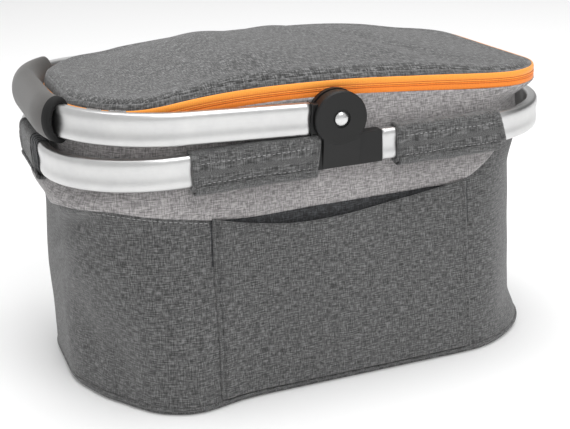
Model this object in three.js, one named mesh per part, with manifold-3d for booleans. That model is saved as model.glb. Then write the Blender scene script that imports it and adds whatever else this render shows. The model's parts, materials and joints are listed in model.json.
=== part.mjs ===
// Handlebar basket: a soft zipped bag hung in an aluminium rim, with a folding carrying handle
// and a quick-release adapter plate on its back wall.
// Millimetres. +X along the long side, +Y towards the handlebar, +Z up.
// The origin is the centre of the underside.
import * as THREE from 'three';
import { mergeVertices } from 'three/addons/utils/BufferGeometryUtils.js';
import Module from 'manifold-3d';

const wasm = await Module();
wasm.setup();

// ---- driving dimensions -------------------------------------------------------------------

const GAP = 0.3;
const CORNER_STEPS = 8;
const ROUND_STEPS = 28;
const SMALL_STEPS = 16;
const SCREW_STEPS = 12;

// Cutting tools run past the faces they cut: this far beyond an open top, and between these two
// depths through everything on one long side.
const CUT_PAST = 20;
const THROUGH = { near: 70, far: 130 };

// Rim: one rounded-rectangle loop of hollow bar, in two halves.
const BAR = { height: 21.5, thickness: 9, wall: 1.8, chamfer: 2, groove: 1.1 };
const RIM = { halfLength: 185, halfDepth: 110, radius: 77, z: 170 };

// Carrying handle: the same bar, bent to a U and hinged above the middle of each long side.
const PIVOT_Z = 192.5;
const HANDLE = { halfLength: 182, halfDepth: 110, radius: 77, tubeEnd: 20.4 };
const HANDLE_REST_TILT = 0.05;
const GRIP = { halfHeight: 15.2, outward: 11.6, inward: 7.4, holeHalfHeight: 11.2, holeOutward: 7.4 };
const GRIP_HOLE_CORNER = { inner: 2, outer: 3 };
const GRIP_ROUND_FRONT = 22.5;
const GRIP_ROUND_BACK = 45;

// Pivot bracket: a block in line with the rim that carries two round ears.
const BLOCK_HALF_LENGTH = 30;
const EAR = { radius: 18.4, front: 113, frontInner: 109.3, rearOuter: 102, rear: 98.5, neckHalf: 13 };
const EAR_CHAMFER = 0.8;
const NECK = { rootInset: 2, shoulderZ: 177 };
const HUB = { radius: 17.8, front: 109, rear: 103.3, collarStart: 19, room: 0.6 };
const RIVET = { shank: 3, head: 4.7, recess: 6.2, recessDepth: 1, tailDepth: 1.8, domeHeight: 2.1 };
const WASHER_RADIUS = 8;
const SPIGOT_LENGTH = 22;

// Bag body: half length and half depth of the outer wall at a few heights.
const BAG_RADIUS = 70;
const BAG_PROFILE = [
  { z: 0, halfLength: 175, halfDepth: 100 },
  { z: 60, halfLength: 173, halfDepth: 99.2 },
  { z: 131, halfLength: 171, halfDepth: 98.6 },
  { z: 165, halfLength: 170.5, halfDepth: 98 },
  { z: 200, halfLength: 166.5, halfDepth: 97 },
];
const FLOOR_THICKNESS = 2.4;
const BOARD_THICKNESS = 2.5;
const WALL = 3;
const LINING = 1.2;
const BAND_START = 131;
const BAND_TOP = 197.9;
const PIPING = { reach: 1.9, bottom: 1.6, top: 4.6 };

// Zip and lid.
const ZIP = { z: 204, tapeHeight: 4.9, tapeThickness: 1.2, parting: 0.8, backEnd: 45 };
const LID = { borderTop: 213.6, borderLean: 4, top: 231, reach: 58, shell: 3 };
const LID_HINGE_Z = 211;
const HINGE_CLOTH_MARGIN = 3;

// Zip sliders sit on the front left corner of the zip.
const SLIDER = { halfLength: 6, halfHeight: 4.6, plate: 0.8, play: 0.5, innerPlay: 1, bridge: 0.9 };
const SLIDER_POST_LENGTH = 3;
const SLIDER_ANGLES = { a: 232, b: 218 };
const PULL = { length: 16, halfWidth: 2.4, thickness: 0.7, ring: 1.4, play: 0.5 };

// Flat outer pocket on the front wall.
const POCKET = { left: -92, right: 105, bottom: 5, top: 126, cloth: 1.4, room: 5.2, sideRun: 14 };

// Quick-release adapter plate and its fastening.
const ADAPTER = { halfWidth: 48, bottom: 46, top: 127, face: 104.6, rail: 116, railWidth: 12 };
const ADAPTER_RAIL = { bottom: 54, footTop: 66, top: 123, screwRoom: 3 };
const ADAPTER_SLOT = { low: 101, high: 111, near: 108, far: 112.5 };
const SCREW = { x: 40, low: 56, high: 117, shank: 2, head: 4.2, headHeight: 2.2 };
const NUT = { radius: 3.9, height: 3.2, cap: 0.5 };
const BACKING = { halfWidth: 50, thickness: 2, margin: 10 };

// Cloth loops that hold the bag in the rim.
const LOOP = { play: 0.3, cloth: 1.5, chamfer: 2 };

const COLOURS = {
  darkCloth: 0x5b5b5d,
  lightCloth: 0x98908f,
  lining: 0x2c2c2e,
  aluminium: 0xd4d7d8,
  plastic: 0x2f2f31,
  foam: 0x555350,
  orange: 0xf08a2c,
  steel: 0xc4c6c8,
  board: 0x1f1f20,
};

// ---- joining and cutting ------------------------------------------------------------------

function toSolid(geometry) {
  const bare = geometry.clone();
  bare.deleteAttribute('normal');
  bare.deleteAttribute('uv');
  const merged = mergeVertices(bare, 1e-4);
  const mesh = new wasm.Mesh({
    numProp: 3,
    vertProperties: new Float32Array(merged.attributes.position.array),
    triVerts: new Uint32Array(merged.index.array),
  });
  return new wasm.Manifold(mesh);
}

function toGeometry(solid) {
  const mesh = solid.getMesh();
  const geometry = new THREE.BufferGeometry();
  geometry.setAttribute('position', new THREE.BufferAttribute(mesh.vertProperties, 3));
  geometry.setIndex(new THREE.BufferAttribute(mesh.triVerts, 1));
  geometry.computeVertexNormals();
  return geometry;
}

function build(added, removed = []) {
  let solid = toSolid(added[0]);
  for (const geometry of added.slice(1)) {
    solid = solid.add(toSolid(geometry));
  }
  for (const geometry of removed) {
    solid = solid.subtract(toSolid(geometry));
  }
  return toGeometry(solid);
}

// ---- small shapes -------------------------------------------------------------------------

function box(x0, x1, y0, y1, z0, z1) {
  const geometry = new THREE.BoxGeometry(Math.abs(x1 - x0), Math.abs(y1 - y0), Math.abs(z1 - z0));
  return geometry.translate((x0 + x1) / 2, (y0 + y1) / 2, (z0 + z1) / 2);
}

// A round bar along Y between two depths, centred at x, z.
function roundAlongY(radius, y0, y1, x, z, steps = ROUND_STEPS, radiusAtY1 = radius) {
  const low = y0 < y1 ? radius : radiusAtY1;
  const high = y0 < y1 ? radiusAtY1 : radius;
  const geometry = new THREE.CylinderGeometry(high, low, Math.abs(y1 - y0), steps);
  return geometry.translate(x, (y0 + y1) / 2, z);
}

// A cutting tool that runs along Y through everything on one long side.
function boreThrough(radius, side, x, z, steps = SMALL_STEPS) {
  return roundAlongY(radius, side * THROUGH.near, side * THROUGH.far, x, z, steps);
}

// ---- rounded-rectangle outlines -----------------------------------------------------------

function trackShape(halfLength, halfDepth, radius) {
  const points = [];
  const corners = [
    [halfLength - radius, halfDepth - radius, 0],
    [radius - halfLength, halfDepth - radius, 90],
    [radius - halfLength, radius - halfDepth, 180],
    [halfLength - radius, radius - halfDepth, 270],
  ];
  for (const [x, y, startDegrees] of corners) {
    for (let k = 0; k <= CORNER_STEPS; k += 1) {
      const angle = THREE.MathUtils.degToRad(startDegrees + (90 * k) / CORNER_STEPS);
      points.push(new THREE.Vector2(x + radius * Math.cos(angle), y + radius * Math.sin(angle)));
    }
  }
  return points;
}

// A flat ring or plate with a rounded-rectangle outline, from z0 to z1.
function trackPlate({ halfLength, halfDepth, radius }, z0, z1, steps = 1) {
  const shape = new THREE.Shape(trackShape(halfLength, halfDepth, radius));
  const geometry = new THREE.ExtrudeGeometry(shape, { depth: z1 - z0, steps, bevelEnabled: false });
  return geometry.translate(0, 0, z0);
}

function trackRing(track, thickness, z0, z1, steps = 1) {
  const { halfLength, halfDepth, radius } = track;
  const shape = new THREE.Shape(trackShape(halfLength, halfDepth, radius));
  const inner = trackShape(halfLength - thickness, halfDepth - thickness, radius - thickness);
  shape.holes.push(new THREE.Path(inner));
  const geometry = new THREE.ExtrudeGeometry(shape, { depth: z1 - z0, steps, bevelEnabled: false });
  return geometry.translate(0, 0, z0);
}

function inset({ halfLength, halfDepth, radius }, by) {
  return { halfLength: halfLength - by, halfDepth: halfDepth - by, radius: radius - by };
}

// Moves every point of an outline inward along its normal, by an amount that depends on height.
function leanInward(geometry, track, insetAt) {
  const position = geometry.attributes.position;
  const centreX = track.halfLength - track.radius;
  const centreY = track.halfDepth - track.radius;
  for (let k = 0; k < position.count; k += 1) {
    const x = position.getX(k);
    const y = position.getY(k);
    const cx = THREE.MathUtils.clamp(x, -centreX, centreX);
    const cy = THREE.MathUtils.clamp(y, -centreY, centreY);
    const reach = Math.hypot(x - cx, y - cy);
    const scale = (reach - insetAt(position.getZ(k))) / reach;
    position.setXY(k, cx + (x - cx) * scale, cy + (y - cy) * scale);
  }
  return geometry;
}

// ---- bars swept along a bent path ---------------------------------------------------------

// A path that is read only at its own stations: the ends of its straights and steps of its arcs.
class StationPath extends THREE.Curve {
  constructor(stations) {
    super();
    this.stations = stations;
  }

  at(u) {
    return this.stations[Math.round(u * (this.stations.length - 1))];
  }

  getPointAt(u) {
    return this.at(u).point.clone();
  }

  getTangentAt(u) {
    return this.at(u).tangent.clone();
  }
}

function station(x, y, tangentX, tangentY) {
  return { point: new THREE.Vector3(x, y, 0), tangent: new THREE.Vector3(tangentX, tangentY, 0) };
}

// Stations round one corner of a track, clockwise as seen from above.
function cornerArc(track, name, fromDegrees, toDegrees) {
  const signX = name.endsWith('left') ? -1 : 1;
  const signY = name.startsWith('front') ? -1 : 1;
  const centreX = signX * (track.halfLength - track.radius);
  const centreY = signY * (track.halfDepth - track.radius);
  const steps = Math.max(2, Math.round((CORNER_STEPS * Math.abs(fromDegrees - toDegrees)) / 90));
  const stations = [];
  for (let k = 0; k <= steps; k += 1) {
    const angle = THREE.MathUtils.degToRad(fromDegrees + ((toDegrees - fromDegrees) * k) / steps);
    const x = centreX + track.radius * Math.cos(angle);
    const y = centreY + track.radius * Math.sin(angle);
    stations.push(station(x, y, Math.sin(angle), -Math.cos(angle)));
  }
  return stations;
}

// The section lies across the path: its x points down and its y points out of the loop.
function sweep(section, stations) {
  const path = new StationPath(stations);
  const options = { steps: stations.length - 1, bevelEnabled: false, extrudePath: path };
  return new THREE.ExtrudeGeometry(section, options);
}

function polygon(points) {
  return points.map(([x, y]) => new THREE.Vector2(x, y));
}

// Bar outline: flat inside, two rounded lobes with a shallow groove between them outside.
function barSection() {
  const h = BAR.height / 2;
  const t = BAR.thickness / 2;
  const c = BAR.chamfer;
  const outline = new THREE.Shape(polygon([
    [-h, c - t], [c - h, -t], [h - c, -t], [h, c - t],
    [h, t - c], [h - c, t], [h / 2, t], [h / 5, t - BAR.groove],
    [-h / 5, t - BAR.groove], [-h / 2, t], [c - h, t], [-h, t - c],
  ]));
  const hole = boreOutline(0);
  outline.holes.push(new THREE.Path(polygon(hole)));
  return outline;
}

// The bar's hollow, drawn in by a play so that a spigot fits it.
function boreOutline(play) {
  const high = BAR.height / 2 - BAR.wall - play;
  const inner = -BAR.thickness / 2 + BAR.wall + play;
  const outer = BAR.thickness / 2 - BAR.groove - BAR.wall - play;
  return [[-high, inner], [high, inner], [high, outer], [-high, outer]];
}

function centreLine(frame) {
  return inset(frame, BAR.thickness / 2);
}

function leftHalfLoop(frame, endX) {
  const track = centreLine(frame);
  return [
    station(-endX, -track.halfDepth, -1, 0),
    ...cornerArc(track, 'front_left', 270, 180),
    ...cornerArc(track, 'back_left', 180, 90),
    station(-endX, track.halfDepth, 1, 0),
  ];
}

// ---- frame --------------------------------------------------------------------------------

function rimHalf() {
  return sweep(barSection(), leftHalfLoop(RIM, BLOCK_HALF_LENGTH + GAP)).translate(0, 0, RIM.z);
}

// A plug for the hollow end of a bar that leaves a block along X.
function spigot(side, x0, x1, z) {
  const middle = side * (RIM.halfDepth - BAR.thickness / 2);
  const [[high, inner], , [, outer]] = boreOutline(GAP);
  const y0 = middle + side * inner;
  const y1 = middle + side * outer;
  return box(x0, x1, y0, y1, z + high, z - high);
}

// The front ear's root: flush with the block at its foot and with the ear's face at its shoulder.
function frontNeck(side, low) {
  const root = RIM.halfDepth - NECK.rootInset;
  const outline = new THREE.Shape(polygon([
    [side * root, low], [side * RIM.halfDepth, low], [side * EAR.front, NECK.shoulderZ],
    [side * EAR.front, PIVOT_Z], [side * EAR.frontInner, PIVOT_Z], [side * EAR.frontInner, NECK.shoulderZ],
    [side * root, NECK.shoulderZ],
  ]));
  const width = 2 * EAR.neckHalf;
  const geometry = new THREE.ExtrudeGeometry(outline, { depth: width, bevelEnabled: false });
  const acrossX = new THREE.Matrix4().makeBasis(
    new THREE.Vector3(0, 1, 0), new THREE.Vector3(0, 0, 1), new THREE.Vector3(1, 0, 0),
  );
  return geometry.applyMatrix4(acrossX).translate(-EAR.neckHalf, 0, 0);
}

function pivotBracket(side) {
  const low = RIM.z - BAR.height / 2;
  const high = RIM.z + BAR.height / 2;
  const face = side * RIM.halfDepth;
  const back = side * (RIM.halfDepth - BAR.thickness);
  const added = [
    box(-BLOCK_HALF_LENGTH, BLOCK_HALF_LENGTH, back, face, low, high),
    frontNeck(side, low),
    box(-EAR.neckHalf, EAR.neckHalf, side * EAR.rear, side * EAR.rearOuter, low, PIVOT_Z),
    roundAlongY(EAR.radius, side * EAR.frontInner, side * (EAR.front - EAR_CHAMFER), 0, PIVOT_Z),
    roundAlongY(
      EAR.radius, side * (EAR.front - EAR_CHAMFER), side * EAR.front, 0, PIVOT_Z, ROUND_STEPS,
      EAR.radius - EAR_CHAMFER,
    ),
    roundAlongY(EAR.radius, side * EAR.rear, side * EAR.rearOuter, 0, PIVOT_Z),
    spigot(side, -BLOCK_HALF_LENGTH - SPIGOT_LENGTH, -BLOCK_HALF_LENGTH + 1, RIM.z),
    spigot(side, BLOCK_HALF_LENGTH - 1, BLOCK_HALF_LENGTH + SPIGOT_LENGTH, RIM.z),
  ];
  const hubRoom = HUB.radius + HUB.room;
  const recessFloor = side * (EAR.front - RIVET.recessDepth);
  const tailFloor = side * (EAR.rear + RIVET.tailDepth);
  const removed = [
    roundAlongY(hubRoom, side * EAR.rearOuter, side * EAR.frontInner, 0, PIVOT_Z),
    boreThrough(RIVET.shank + GAP, side, 0, PIVOT_Z),
    roundAlongY(RIVET.recess, recessFloor, side * THROUGH.far, 0, PIVOT_Z, SMALL_STEPS),
    roundAlongY(RIVET.head + GAP, side * THROUGH.near, tailFloor, 0, PIVOT_Z, SMALL_STEPS),
  ];
  return build(added, removed);
}

// Shank with a flat tail sunk in the rear ear and a domed head sunk in the front ear.
function pivotRivet(side) {
  const { shank, head, domeHeight } = RIVET;
  const tail = EAR.rear + GAP;
  const tailEnd = EAR.rear + RIVET.tailDepth - GAP;
  const shoulder = EAR.front - RIVET.recessDepth + GAP;
  const rimHeight = domeHeight / 4;
  const profile = polygon([
    [0, tail], [head, tail], [head, tailEnd], [shank, tailEnd + GAP],
    [shank, shoulder], [head, shoulder], [head, shoulder + rimHeight],
    [head * 0.8, shoulder + domeHeight * 0.7],
    [head * 0.45, shoulder + domeHeight * 0.9], [0, shoulder + domeHeight],
  ]);
  const geometry = new THREE.LatheGeometry(profile, SMALL_STEPS);
  if (side < 0) {
    geometry.rotateZ(Math.PI);
  }
  return geometry.translate(0, 0, PIVOT_Z);
}

function pivotWasher(side) {
  const y0 = side * (EAR.rearOuter + GAP);
  const y1 = side * (HUB.rear - GAP);
  return build(
    [roundAlongY(WASHER_RADIUS, y0, y1, 0, 0, SMALL_STEPS)],
    [boreThrough(RIVET.shank + GAP, side, 0, 0)],
  );
}

// ---- handle (drawn level, with the pivot axis at the origin) --------------------------------

function handleTube() {
  return sweep(barSection(), leftHalfLoop(HANDLE, HANDLE.tubeEnd));
}

function handleHub(side) {
  const face = side * HANDLE.halfDepth;
  const back = side * (HANDLE.halfDepth - BAR.thickness);
  const half = BAR.height / 2;
  return build(
    [
      roundAlongY(HUB.radius, side * HUB.rear, side * HUB.front, 0, 0),
      box(-HUB.collarStart - 1, 0, side * HUB.rear, side * HUB.front, -half + 1, half - 1),
      box(-HANDLE.tubeEnd + GAP, -HUB.collarStart, back, face, -half, half),
      spigot(side, -HANDLE.tubeEnd - SPIGOT_LENGTH, -HUB.collarStart - 0.5, 0),
    ],
    [boreThrough(RIVET.shank + GAP, side, 0, 0)],
  );
}

function ovalPoints(halfHeight, inward, outward, count) {
  const points = [];
  for (let k = 0; k < count; k += 1) {
    const angle = (2 * Math.PI * k) / count;
    const across = Math.sin(angle);
    points.push([halfHeight * Math.cos(angle), across * (across < 0 ? inward : outward)]);
  }
  return polygon(points);
}

// Foam tube: pressed flat towards the bag, full and round on the outside.
function handleGrip() {
  const section = new THREE.Shape(ovalPoints(GRIP.halfHeight, GRIP.inward, GRIP.outward, 14));
  const innerReach = BAR.thickness / 2 + GAP;
  const h = GRIP.holeHalfHeight;
  const { inner, outer } = GRIP_HOLE_CORNER;
  section.holes.push(new THREE.Path(polygon([
    [-h, inner - innerReach], [inner - h, -innerReach], [h - inner, -innerReach],
    [h, inner - innerReach], [h, outer],
    [h - 2 * outer, GRIP.holeOutward], [2 * outer - h, GRIP.holeOutward], [-h, outer],
  ])));
  const track = centreLine(HANDLE);
  return sweep(section, [
    ...cornerArc(track, 'front_left', 180 + GRIP_ROUND_FRONT, 180),
    ...cornerArc(track, 'back_left', 180, 180 - GRIP_ROUND_BACK),
  ]);
}

// ---- bag body -----------------------------------------------------------------------------

const BASE = { ...BAG_PROFILE[0], radius: BAG_RADIUS };

function profileAt(z) {
  let upper = BAG_PROFILE.findIndex((row) => row.z >= z);
  upper = upper < 1 ? (upper === 0 ? 1 : BAG_PROFILE.length - 1) : upper;
  const a = BAG_PROFILE[upper - 1];
  const b = BAG_PROFILE[upper];
  const t = (z - a.z) / (b.z - a.z);
  return {
    halfLength: THREE.MathUtils.lerp(a.halfLength, b.halfLength, t),
    halfDepth: THREE.MathUtils.lerp(a.halfDepth, b.halfDepth, t),
  };
}

// Draws a straight-walled piece in to the bag's own width and depth at each height.
function followBag(geometry) {
  const position = geometry.attributes.position;
  for (let k = 0; k < position.count; k += 1) {
    const { halfLength, halfDepth } = profileAt(position.getZ(k));
    const x = position.getX(k);
    const y = position.getY(k);
    position.setX(k, x + Math.sign(x) * (halfLength - BASE.halfLength));
    position.setY(k, y + Math.sign(y) * (halfDepth - BASE.halfDepth));
  }
  return geometry;
}

function screwPlaces() {
  const places = [];
  for (const z of [SCREW.low, SCREW.high]) {
    for (const x of [-SCREW.x, SCREW.x]) {
      places.push({ x, z });
    }
  }
  return places;
}

function screwHoles() {
  return screwPlaces().map(({ x, z }) => boreThrough(SCREW.shank + GAP, 1, x, z, SCREW_STEPS));
}

function lowerShell() {
  const ring = trackRing(BASE, WALL, FLOOR_THICKNESS + GAP, BAND_START - GAP, 3);
  return build([followBag(ring)], screwHoles());
}

function upperBand() {
  return followBag(trackRing(BASE, WALL, BAND_START, BAND_TOP, 4));
}

function basePanel() {
  return followBag(trackPlate(BASE, 0, FLOOR_THICKNESS));
}

const BOARD_BOTTOM = FLOOR_THICKNESS + GAP;
const LINING_BOTTOM = BOARD_BOTTOM + BOARD_THICKNESS + GAP;

function baseBoard() {
  const track = inset(BASE, WALL + GAP);
  return followBag(trackPlate(track, BOARD_BOTTOM, BOARD_BOTTOM + BOARD_THICKNESS));
}

function bagLining() {
  const outer = inset(BASE, WALL + GAP);
  const top = BAND_TOP - 1;
  const full = followBag(trackPlate(outer, LINING_BOTTOM, top, 4));
  const hollow = followBag(trackPlate(inset(outer, LINING), LINING_BOTTOM + LINING, top + CUT_PAST, 4));
  return build([full], [hollow, ...screwHoles()]);
}

function bottomPiping() {
  const outer = inset(BASE, -PIPING.reach);
  return trackRing(outer, PIPING.reach - GAP, PIPING.bottom, PIPING.top);
}

// Plan outline of the pocket: it leaves the wall at each side seam and runs flat between them.
function pocketOutline(reach, sideInset) {
  const wallY = -BASE.halfDepth - GAP;
  const left = POCKET.left + sideInset;
  const right = POCKET.right - sideInset;
  const shape = new THREE.Shape(polygon([
    [left, wallY], [left, wallY - 1],
    [left + POCKET.sideRun, wallY - reach], [right - POCKET.sideRun, wallY - reach],
    [right, wallY - 1], [right, wallY],
  ]));
  return shape;
}

function frontPocket() {
  const { bottom, top, cloth, room } = POCKET;
  const outside = new THREE.ExtrudeGeometry(
    pocketOutline(room + cloth, 0), { depth: top - bottom, steps: 3, bevelEnabled: false },
  ).translate(0, 0, bottom);
  const inside = new THREE.ExtrudeGeometry(
    pocketOutline(room, cloth), { depth: top - bottom + CUT_PAST, steps: 3, bevelEnabled: false },
  ).translate(0, GAP, bottom + cloth);
  return build([followBag(outside)], [followBag(inside)]);
}

// ---- cloth loops round the rim --------------------------------------------------------------

function loopSection() {
  const halfHole = [BAR.height / 2 + LOOP.play, BAR.thickness / 2 + LOOP.play];
  const halfOut = halfHole.map((value) => value + LOOP.cloth);
  const c = LOOP.chamfer;
  const outline = new THREE.Shape(polygon([
    [-halfOut[0], c - halfOut[1]], [c - halfOut[0], -halfOut[1]],
    [halfOut[0] - c, -halfOut[1]], [halfOut[0], c - halfOut[1]],
    [halfOut[0], halfOut[1] - c], [halfOut[0] - c, halfOut[1]],
    [c - halfOut[0], halfOut[1]], [-halfOut[0], halfOut[1] - c],
  ]));
  outline.holes.push(new THREE.Path(polygon([
    [-halfHole[0], -halfHole[1]], [halfHole[0], -halfHole[1]],
    [halfHole[0], halfHole[1]], [-halfHole[0], halfHole[1]],
  ])));
  return outline;
}

// A loop on a straight stretch of the rim, from one place to another along it.
function rimLoop(sideName, from, to) {
  const track = centreLine(RIM);
  const stretches = {
    front: [station(to, -track.halfDepth, -1, 0), station(from, -track.halfDepth, -1, 0)],
    back: [station(from, track.halfDepth, 1, 0), station(to, track.halfDepth, 1, 0)],
    left: [station(-track.halfLength, from, 0, 1), station(-track.halfLength, to, 0, 1)],
    right: [station(track.halfLength, to, 0, -1), station(track.halfLength, from, 0, -1)],
  };
  return sweep(loopSection(), stretches[sideName]).translate(0, 0, RIM.z);
}

const RIM_LOOPS = {
  rim_loop_front_left: ['front', -102, -15.5],
  rim_loop_front_right: ['front', 41, 107],
  rim_loop_back_left: ['back', -107, -41],
  rim_loop_back_right: ['back', 15.5, 102],
  rim_loop_left_end: ['left', -32, 32],
  rim_loop_right_end: ['right', -32, 32],
};

// ---- zip ------------------------------------------------------------------------------------

const ZIP_TRACK = { halfLength: 166.5, halfDepth: 97, radius: BAG_RADIUS };

function tapeStations() {
  const track = inset(ZIP_TRACK, ZIP.tapeThickness / 2);
  return [
    station(ZIP.backEnd, track.halfDepth, 1, 0),
    ...cornerArc(track, 'back_right', 90, 0),
    ...cornerArc(track, 'front_right', 0, -90),
    ...cornerArc(track, 'front_left', 270, 180),
    ...cornerArc(track, 'back_left', 180, 90),
    station(-ZIP.backEnd, track.halfDepth, 1, 0),
  ];
}

// One half of the zip; level is +1 for the lid's half and -1 for the bag's half.
function zipTape(level) {
  const near = ZIP.parting;
  const far = ZIP.parting + ZIP.tapeHeight;
  const half = ZIP.tapeThickness / 2;
  const section = new THREE.Shape(polygon([
    [-level * near, -half], [-level * near, half], [-level * far, half], [-level * far, -half],
  ]));
  return sweep(section, tapeStations()).translate(0, 0, ZIP.z);
}

// Cloth behind the zip's two ends, up to where it starts to bend with the lid.
function hingeCloth() {
  const z0 = BAND_TOP + GAP;
  const z1 = LID_HINGE_Z - HINGE_CLOTH_MARGIN;
  const y1 = ZIP_TRACK.halfDepth;
  const reach = ZIP.backEnd - 1;
  return box(-reach, reach, y1 - ZIP.tapeThickness, y1, z0, z1);
}

// Slider drawn at the origin: X out of the bag, Y along the zip, Z up the tape.
function zipSlider() {
  const { halfLength, halfHeight, plate, play, innerPlay, bridge } = SLIDER;
  const outerFace = play + plate;
  const innerFace = -ZIP.tapeThickness - innerPlay - plate;
  const post = ZIP.parting - GAP;
  const postEnd = SLIDER_POST_LENGTH - halfLength;
  return build([
    box(play, outerFace, -halfLength, halfLength, -halfHeight, halfHeight),
    box(innerFace, innerFace + plate, -halfLength, halfLength, -halfHeight, halfHeight),
    box(innerFace, outerFace, -halfLength, postEnd, -post, post),
    roundBoss(PULL.ring - PULL.play, outerFace - GAP, outerFace + bridge),
  ]);
}

// A small round boss along X, which the pull swings on.
function roundBoss(radius, x0, x1) {
  const geometry = new THREE.CylinderGeometry(radius, radius, x1 - x0, SCREW_STEPS);
  return geometry.rotateZ(Math.PI / 2).translate((x0 + x1) / 2, 0, 0);
}

// Pull drawn hanging from the same origin as its slider.
function zipPull() {
  const x0 = SLIDER.play + SLIDER.plate + 0.1;
  const x1 = x0 + PULL.thickness;
  const w = PULL.halfWidth;
  return build(
    [
      box(x0, x1, -w, w, -PULL.length, 0),
      roundBoss(w, x0, x1),
    ],
    [roundBoss(PULL.ring, x0 - 1, x1 + 1)],
  );
}

// ---- lid ------------------------------------------------------------------------------------

const BORDER_BOTTOM = ZIP.z + ZIP.parting + ZIP.tapeHeight + GAP;

function lidBorder() {
  const ring = trackRing(ZIP_TRACK, LID.shell, BORDER_BOTTOM, LID.borderTop, 1);
  const rise = LID.borderTop - BORDER_BOTTOM;
  return leanInward(ring, ZIP_TRACK, (z) => (LID.borderLean * (z - BORDER_BOTTOM)) / rise);
}

// A pillow of rounded-rectangle outline: a quarter-ellipse shoulder up to a flat crown.
function pillow(track, z0, rise, reach, steps) {
  const plate = trackPlate(track, 0, 1, steps);
  leanInward(plate, track, (t) => reach * (1 - Math.cos((t * Math.PI) / 2)));
  const position = plate.attributes.position;
  for (let k = 0; k < position.count; k += 1) {
    position.setZ(k, z0 + rise * Math.sin((position.getZ(k) * Math.PI) / 2));
  }
  return plate;
}

function lidTop() {
  const outerTrack = inset(ZIP_TRACK, LID.borderLean + 1);
  const bottom = LID.borderTop + GAP;
  const rise = LID.top - bottom;
  const outer = pillow(outerTrack, bottom, rise, LID.reach, 6);
  const innerTrack = inset(outerTrack, LID.shell);
  const inner = pillow(innerTrack, bottom - LID.shell, rise, LID.reach, 6);
  return build([outer], [inner]);
}

// ---- adapter --------------------------------------------------------------------------------

function adapterPlate() {
  const { halfWidth, face, rail, railWidth } = ADAPTER;
  const { bottom, footTop, top } = ADAPTER_RAIL;
  const { low, high, near, far } = ADAPTER_SLOT;
  const back = BASE.halfDepth + GAP;
  const reach = SCREW.x - SCREW.head - ADAPTER_RAIL.screwRoom;
  const root = face - 1;
  const added = [
    box(-halfWidth, halfWidth, back, face, ADAPTER.bottom, ADAPTER.top),
    box(-reach, railWidth - reach, root, rail, bottom, top),
    box(reach - railWidth, reach, root, rail, bottom, top),
    box(-reach, reach, root, rail, bottom, footTop),
  ];
  const hookSlot = box(-reach - 1, reach + 1, near, far, low, high);
  return build(added, [hookSlot, ...screwHoles()]);
}

function backingPlate() {
  const outer = innerFaceY() - GAP;
  const half = BACKING.halfWidth;
  const low = SCREW.low - BACKING.margin;
  const high = SCREW.high + BACKING.margin;
  return build([box(-half, half, outer - BACKING.thickness, outer, low, high)], screwHoles());
}

// The lining's inner face behind the adapter, at the narrowest height that the plate covers.
function innerFaceY() {
  return profileAt(SCREW.high + BACKING.margin).halfDepth - WALL - GAP - LINING;
}

// Depth of the nuts' seat: the face of the backing plate, with its gap.
function nutSeatY() {
  return innerFaceY() - GAP - BACKING.thickness - GAP;
}

function adapterScrew({ x, z }) {
  const under = ADAPTER.face + GAP;
  const end = nutSeatY() - NUT.height + NUT.cap + GAP;
  const topRadius = SCREW.head * 0.75;
  return build([
    roundAlongY(SCREW.shank, end, under + GAP, x, z, SCREW_STEPS),
    roundAlongY(SCREW.head, under, under + SCREW.headHeight, x, z, SMALL_STEPS, topRadius),
  ]);
}

// A closed hexagon nut: its bore stops short of its far face.
function adapterNut({ x, z }) {
  const seat = nutSeatY();
  const boreEnd = seat - NUT.height + NUT.cap;
  return build(
    [roundAlongY(NUT.radius, seat, seat - NUT.height, x, z, 6)],
    [roundAlongY(SCREW.shank + GAP, seat + 1, boreEnd, x, z, SCREW_STEPS)],
  );
}

// ---- assembly -------------------------------------------------------------------------------

const FINISHES = {
  cloth: { roughness: 0.95, metalness: 0 },
  metal: { roughness: 0.35, metalness: 1 },
  plastic: { roughness: 0.6, metalness: 0 },
};

function makeMesh(name, geometry, colour, finish) {
  const material = new THREE.MeshStandardMaterial({ color: COLOURS[colour], ...FINISHES[finish] });
  const mesh = new THREE.Mesh(geometry, material);
  mesh.name = name;
  return mesh;
}

function frameGroup() {
  const group = new THREE.Group();
  group.add(makeMesh('rim_left_half', rimHalf(), 'aluminium', 'metal'));
  const right = makeMesh('rim_right_half', rimHalf(), 'aluminium', 'metal');
  right.rotation.z = Math.PI;
  group.add(right);
  for (const [label, side] of [['front', -1], ['back', 1]]) {
    group.add(makeMesh(`pivot_bracket_${label}`, pivotBracket(side), 'plastic', 'plastic'));
    group.add(makeMesh(`pivot_rivet_${label}`, pivotRivet(side), 'steel', 'metal'));
  }
  return group;
}

function handleGroup() {
  const group = new THREE.Group();
  group.add(makeMesh('handle_tube', handleTube(), 'aluminium', 'metal'));
  group.add(makeMesh('handle_grip', handleGrip(), 'foam', 'plastic'));
  for (const [label, side] of [['front', -1], ['back', 1]]) {
    group.add(makeMesh(`handle_hub_${label}`, handleHub(side), 'plastic', 'plastic'));
    group.add(makeMesh(`pivot_washer_${label}`, pivotWasher(side), 'steel', 'plastic'));
  }
  group.rotation.y = HANDLE_REST_TILT;
  group.position.z = PIVOT_Z;
  return group;
}

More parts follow.
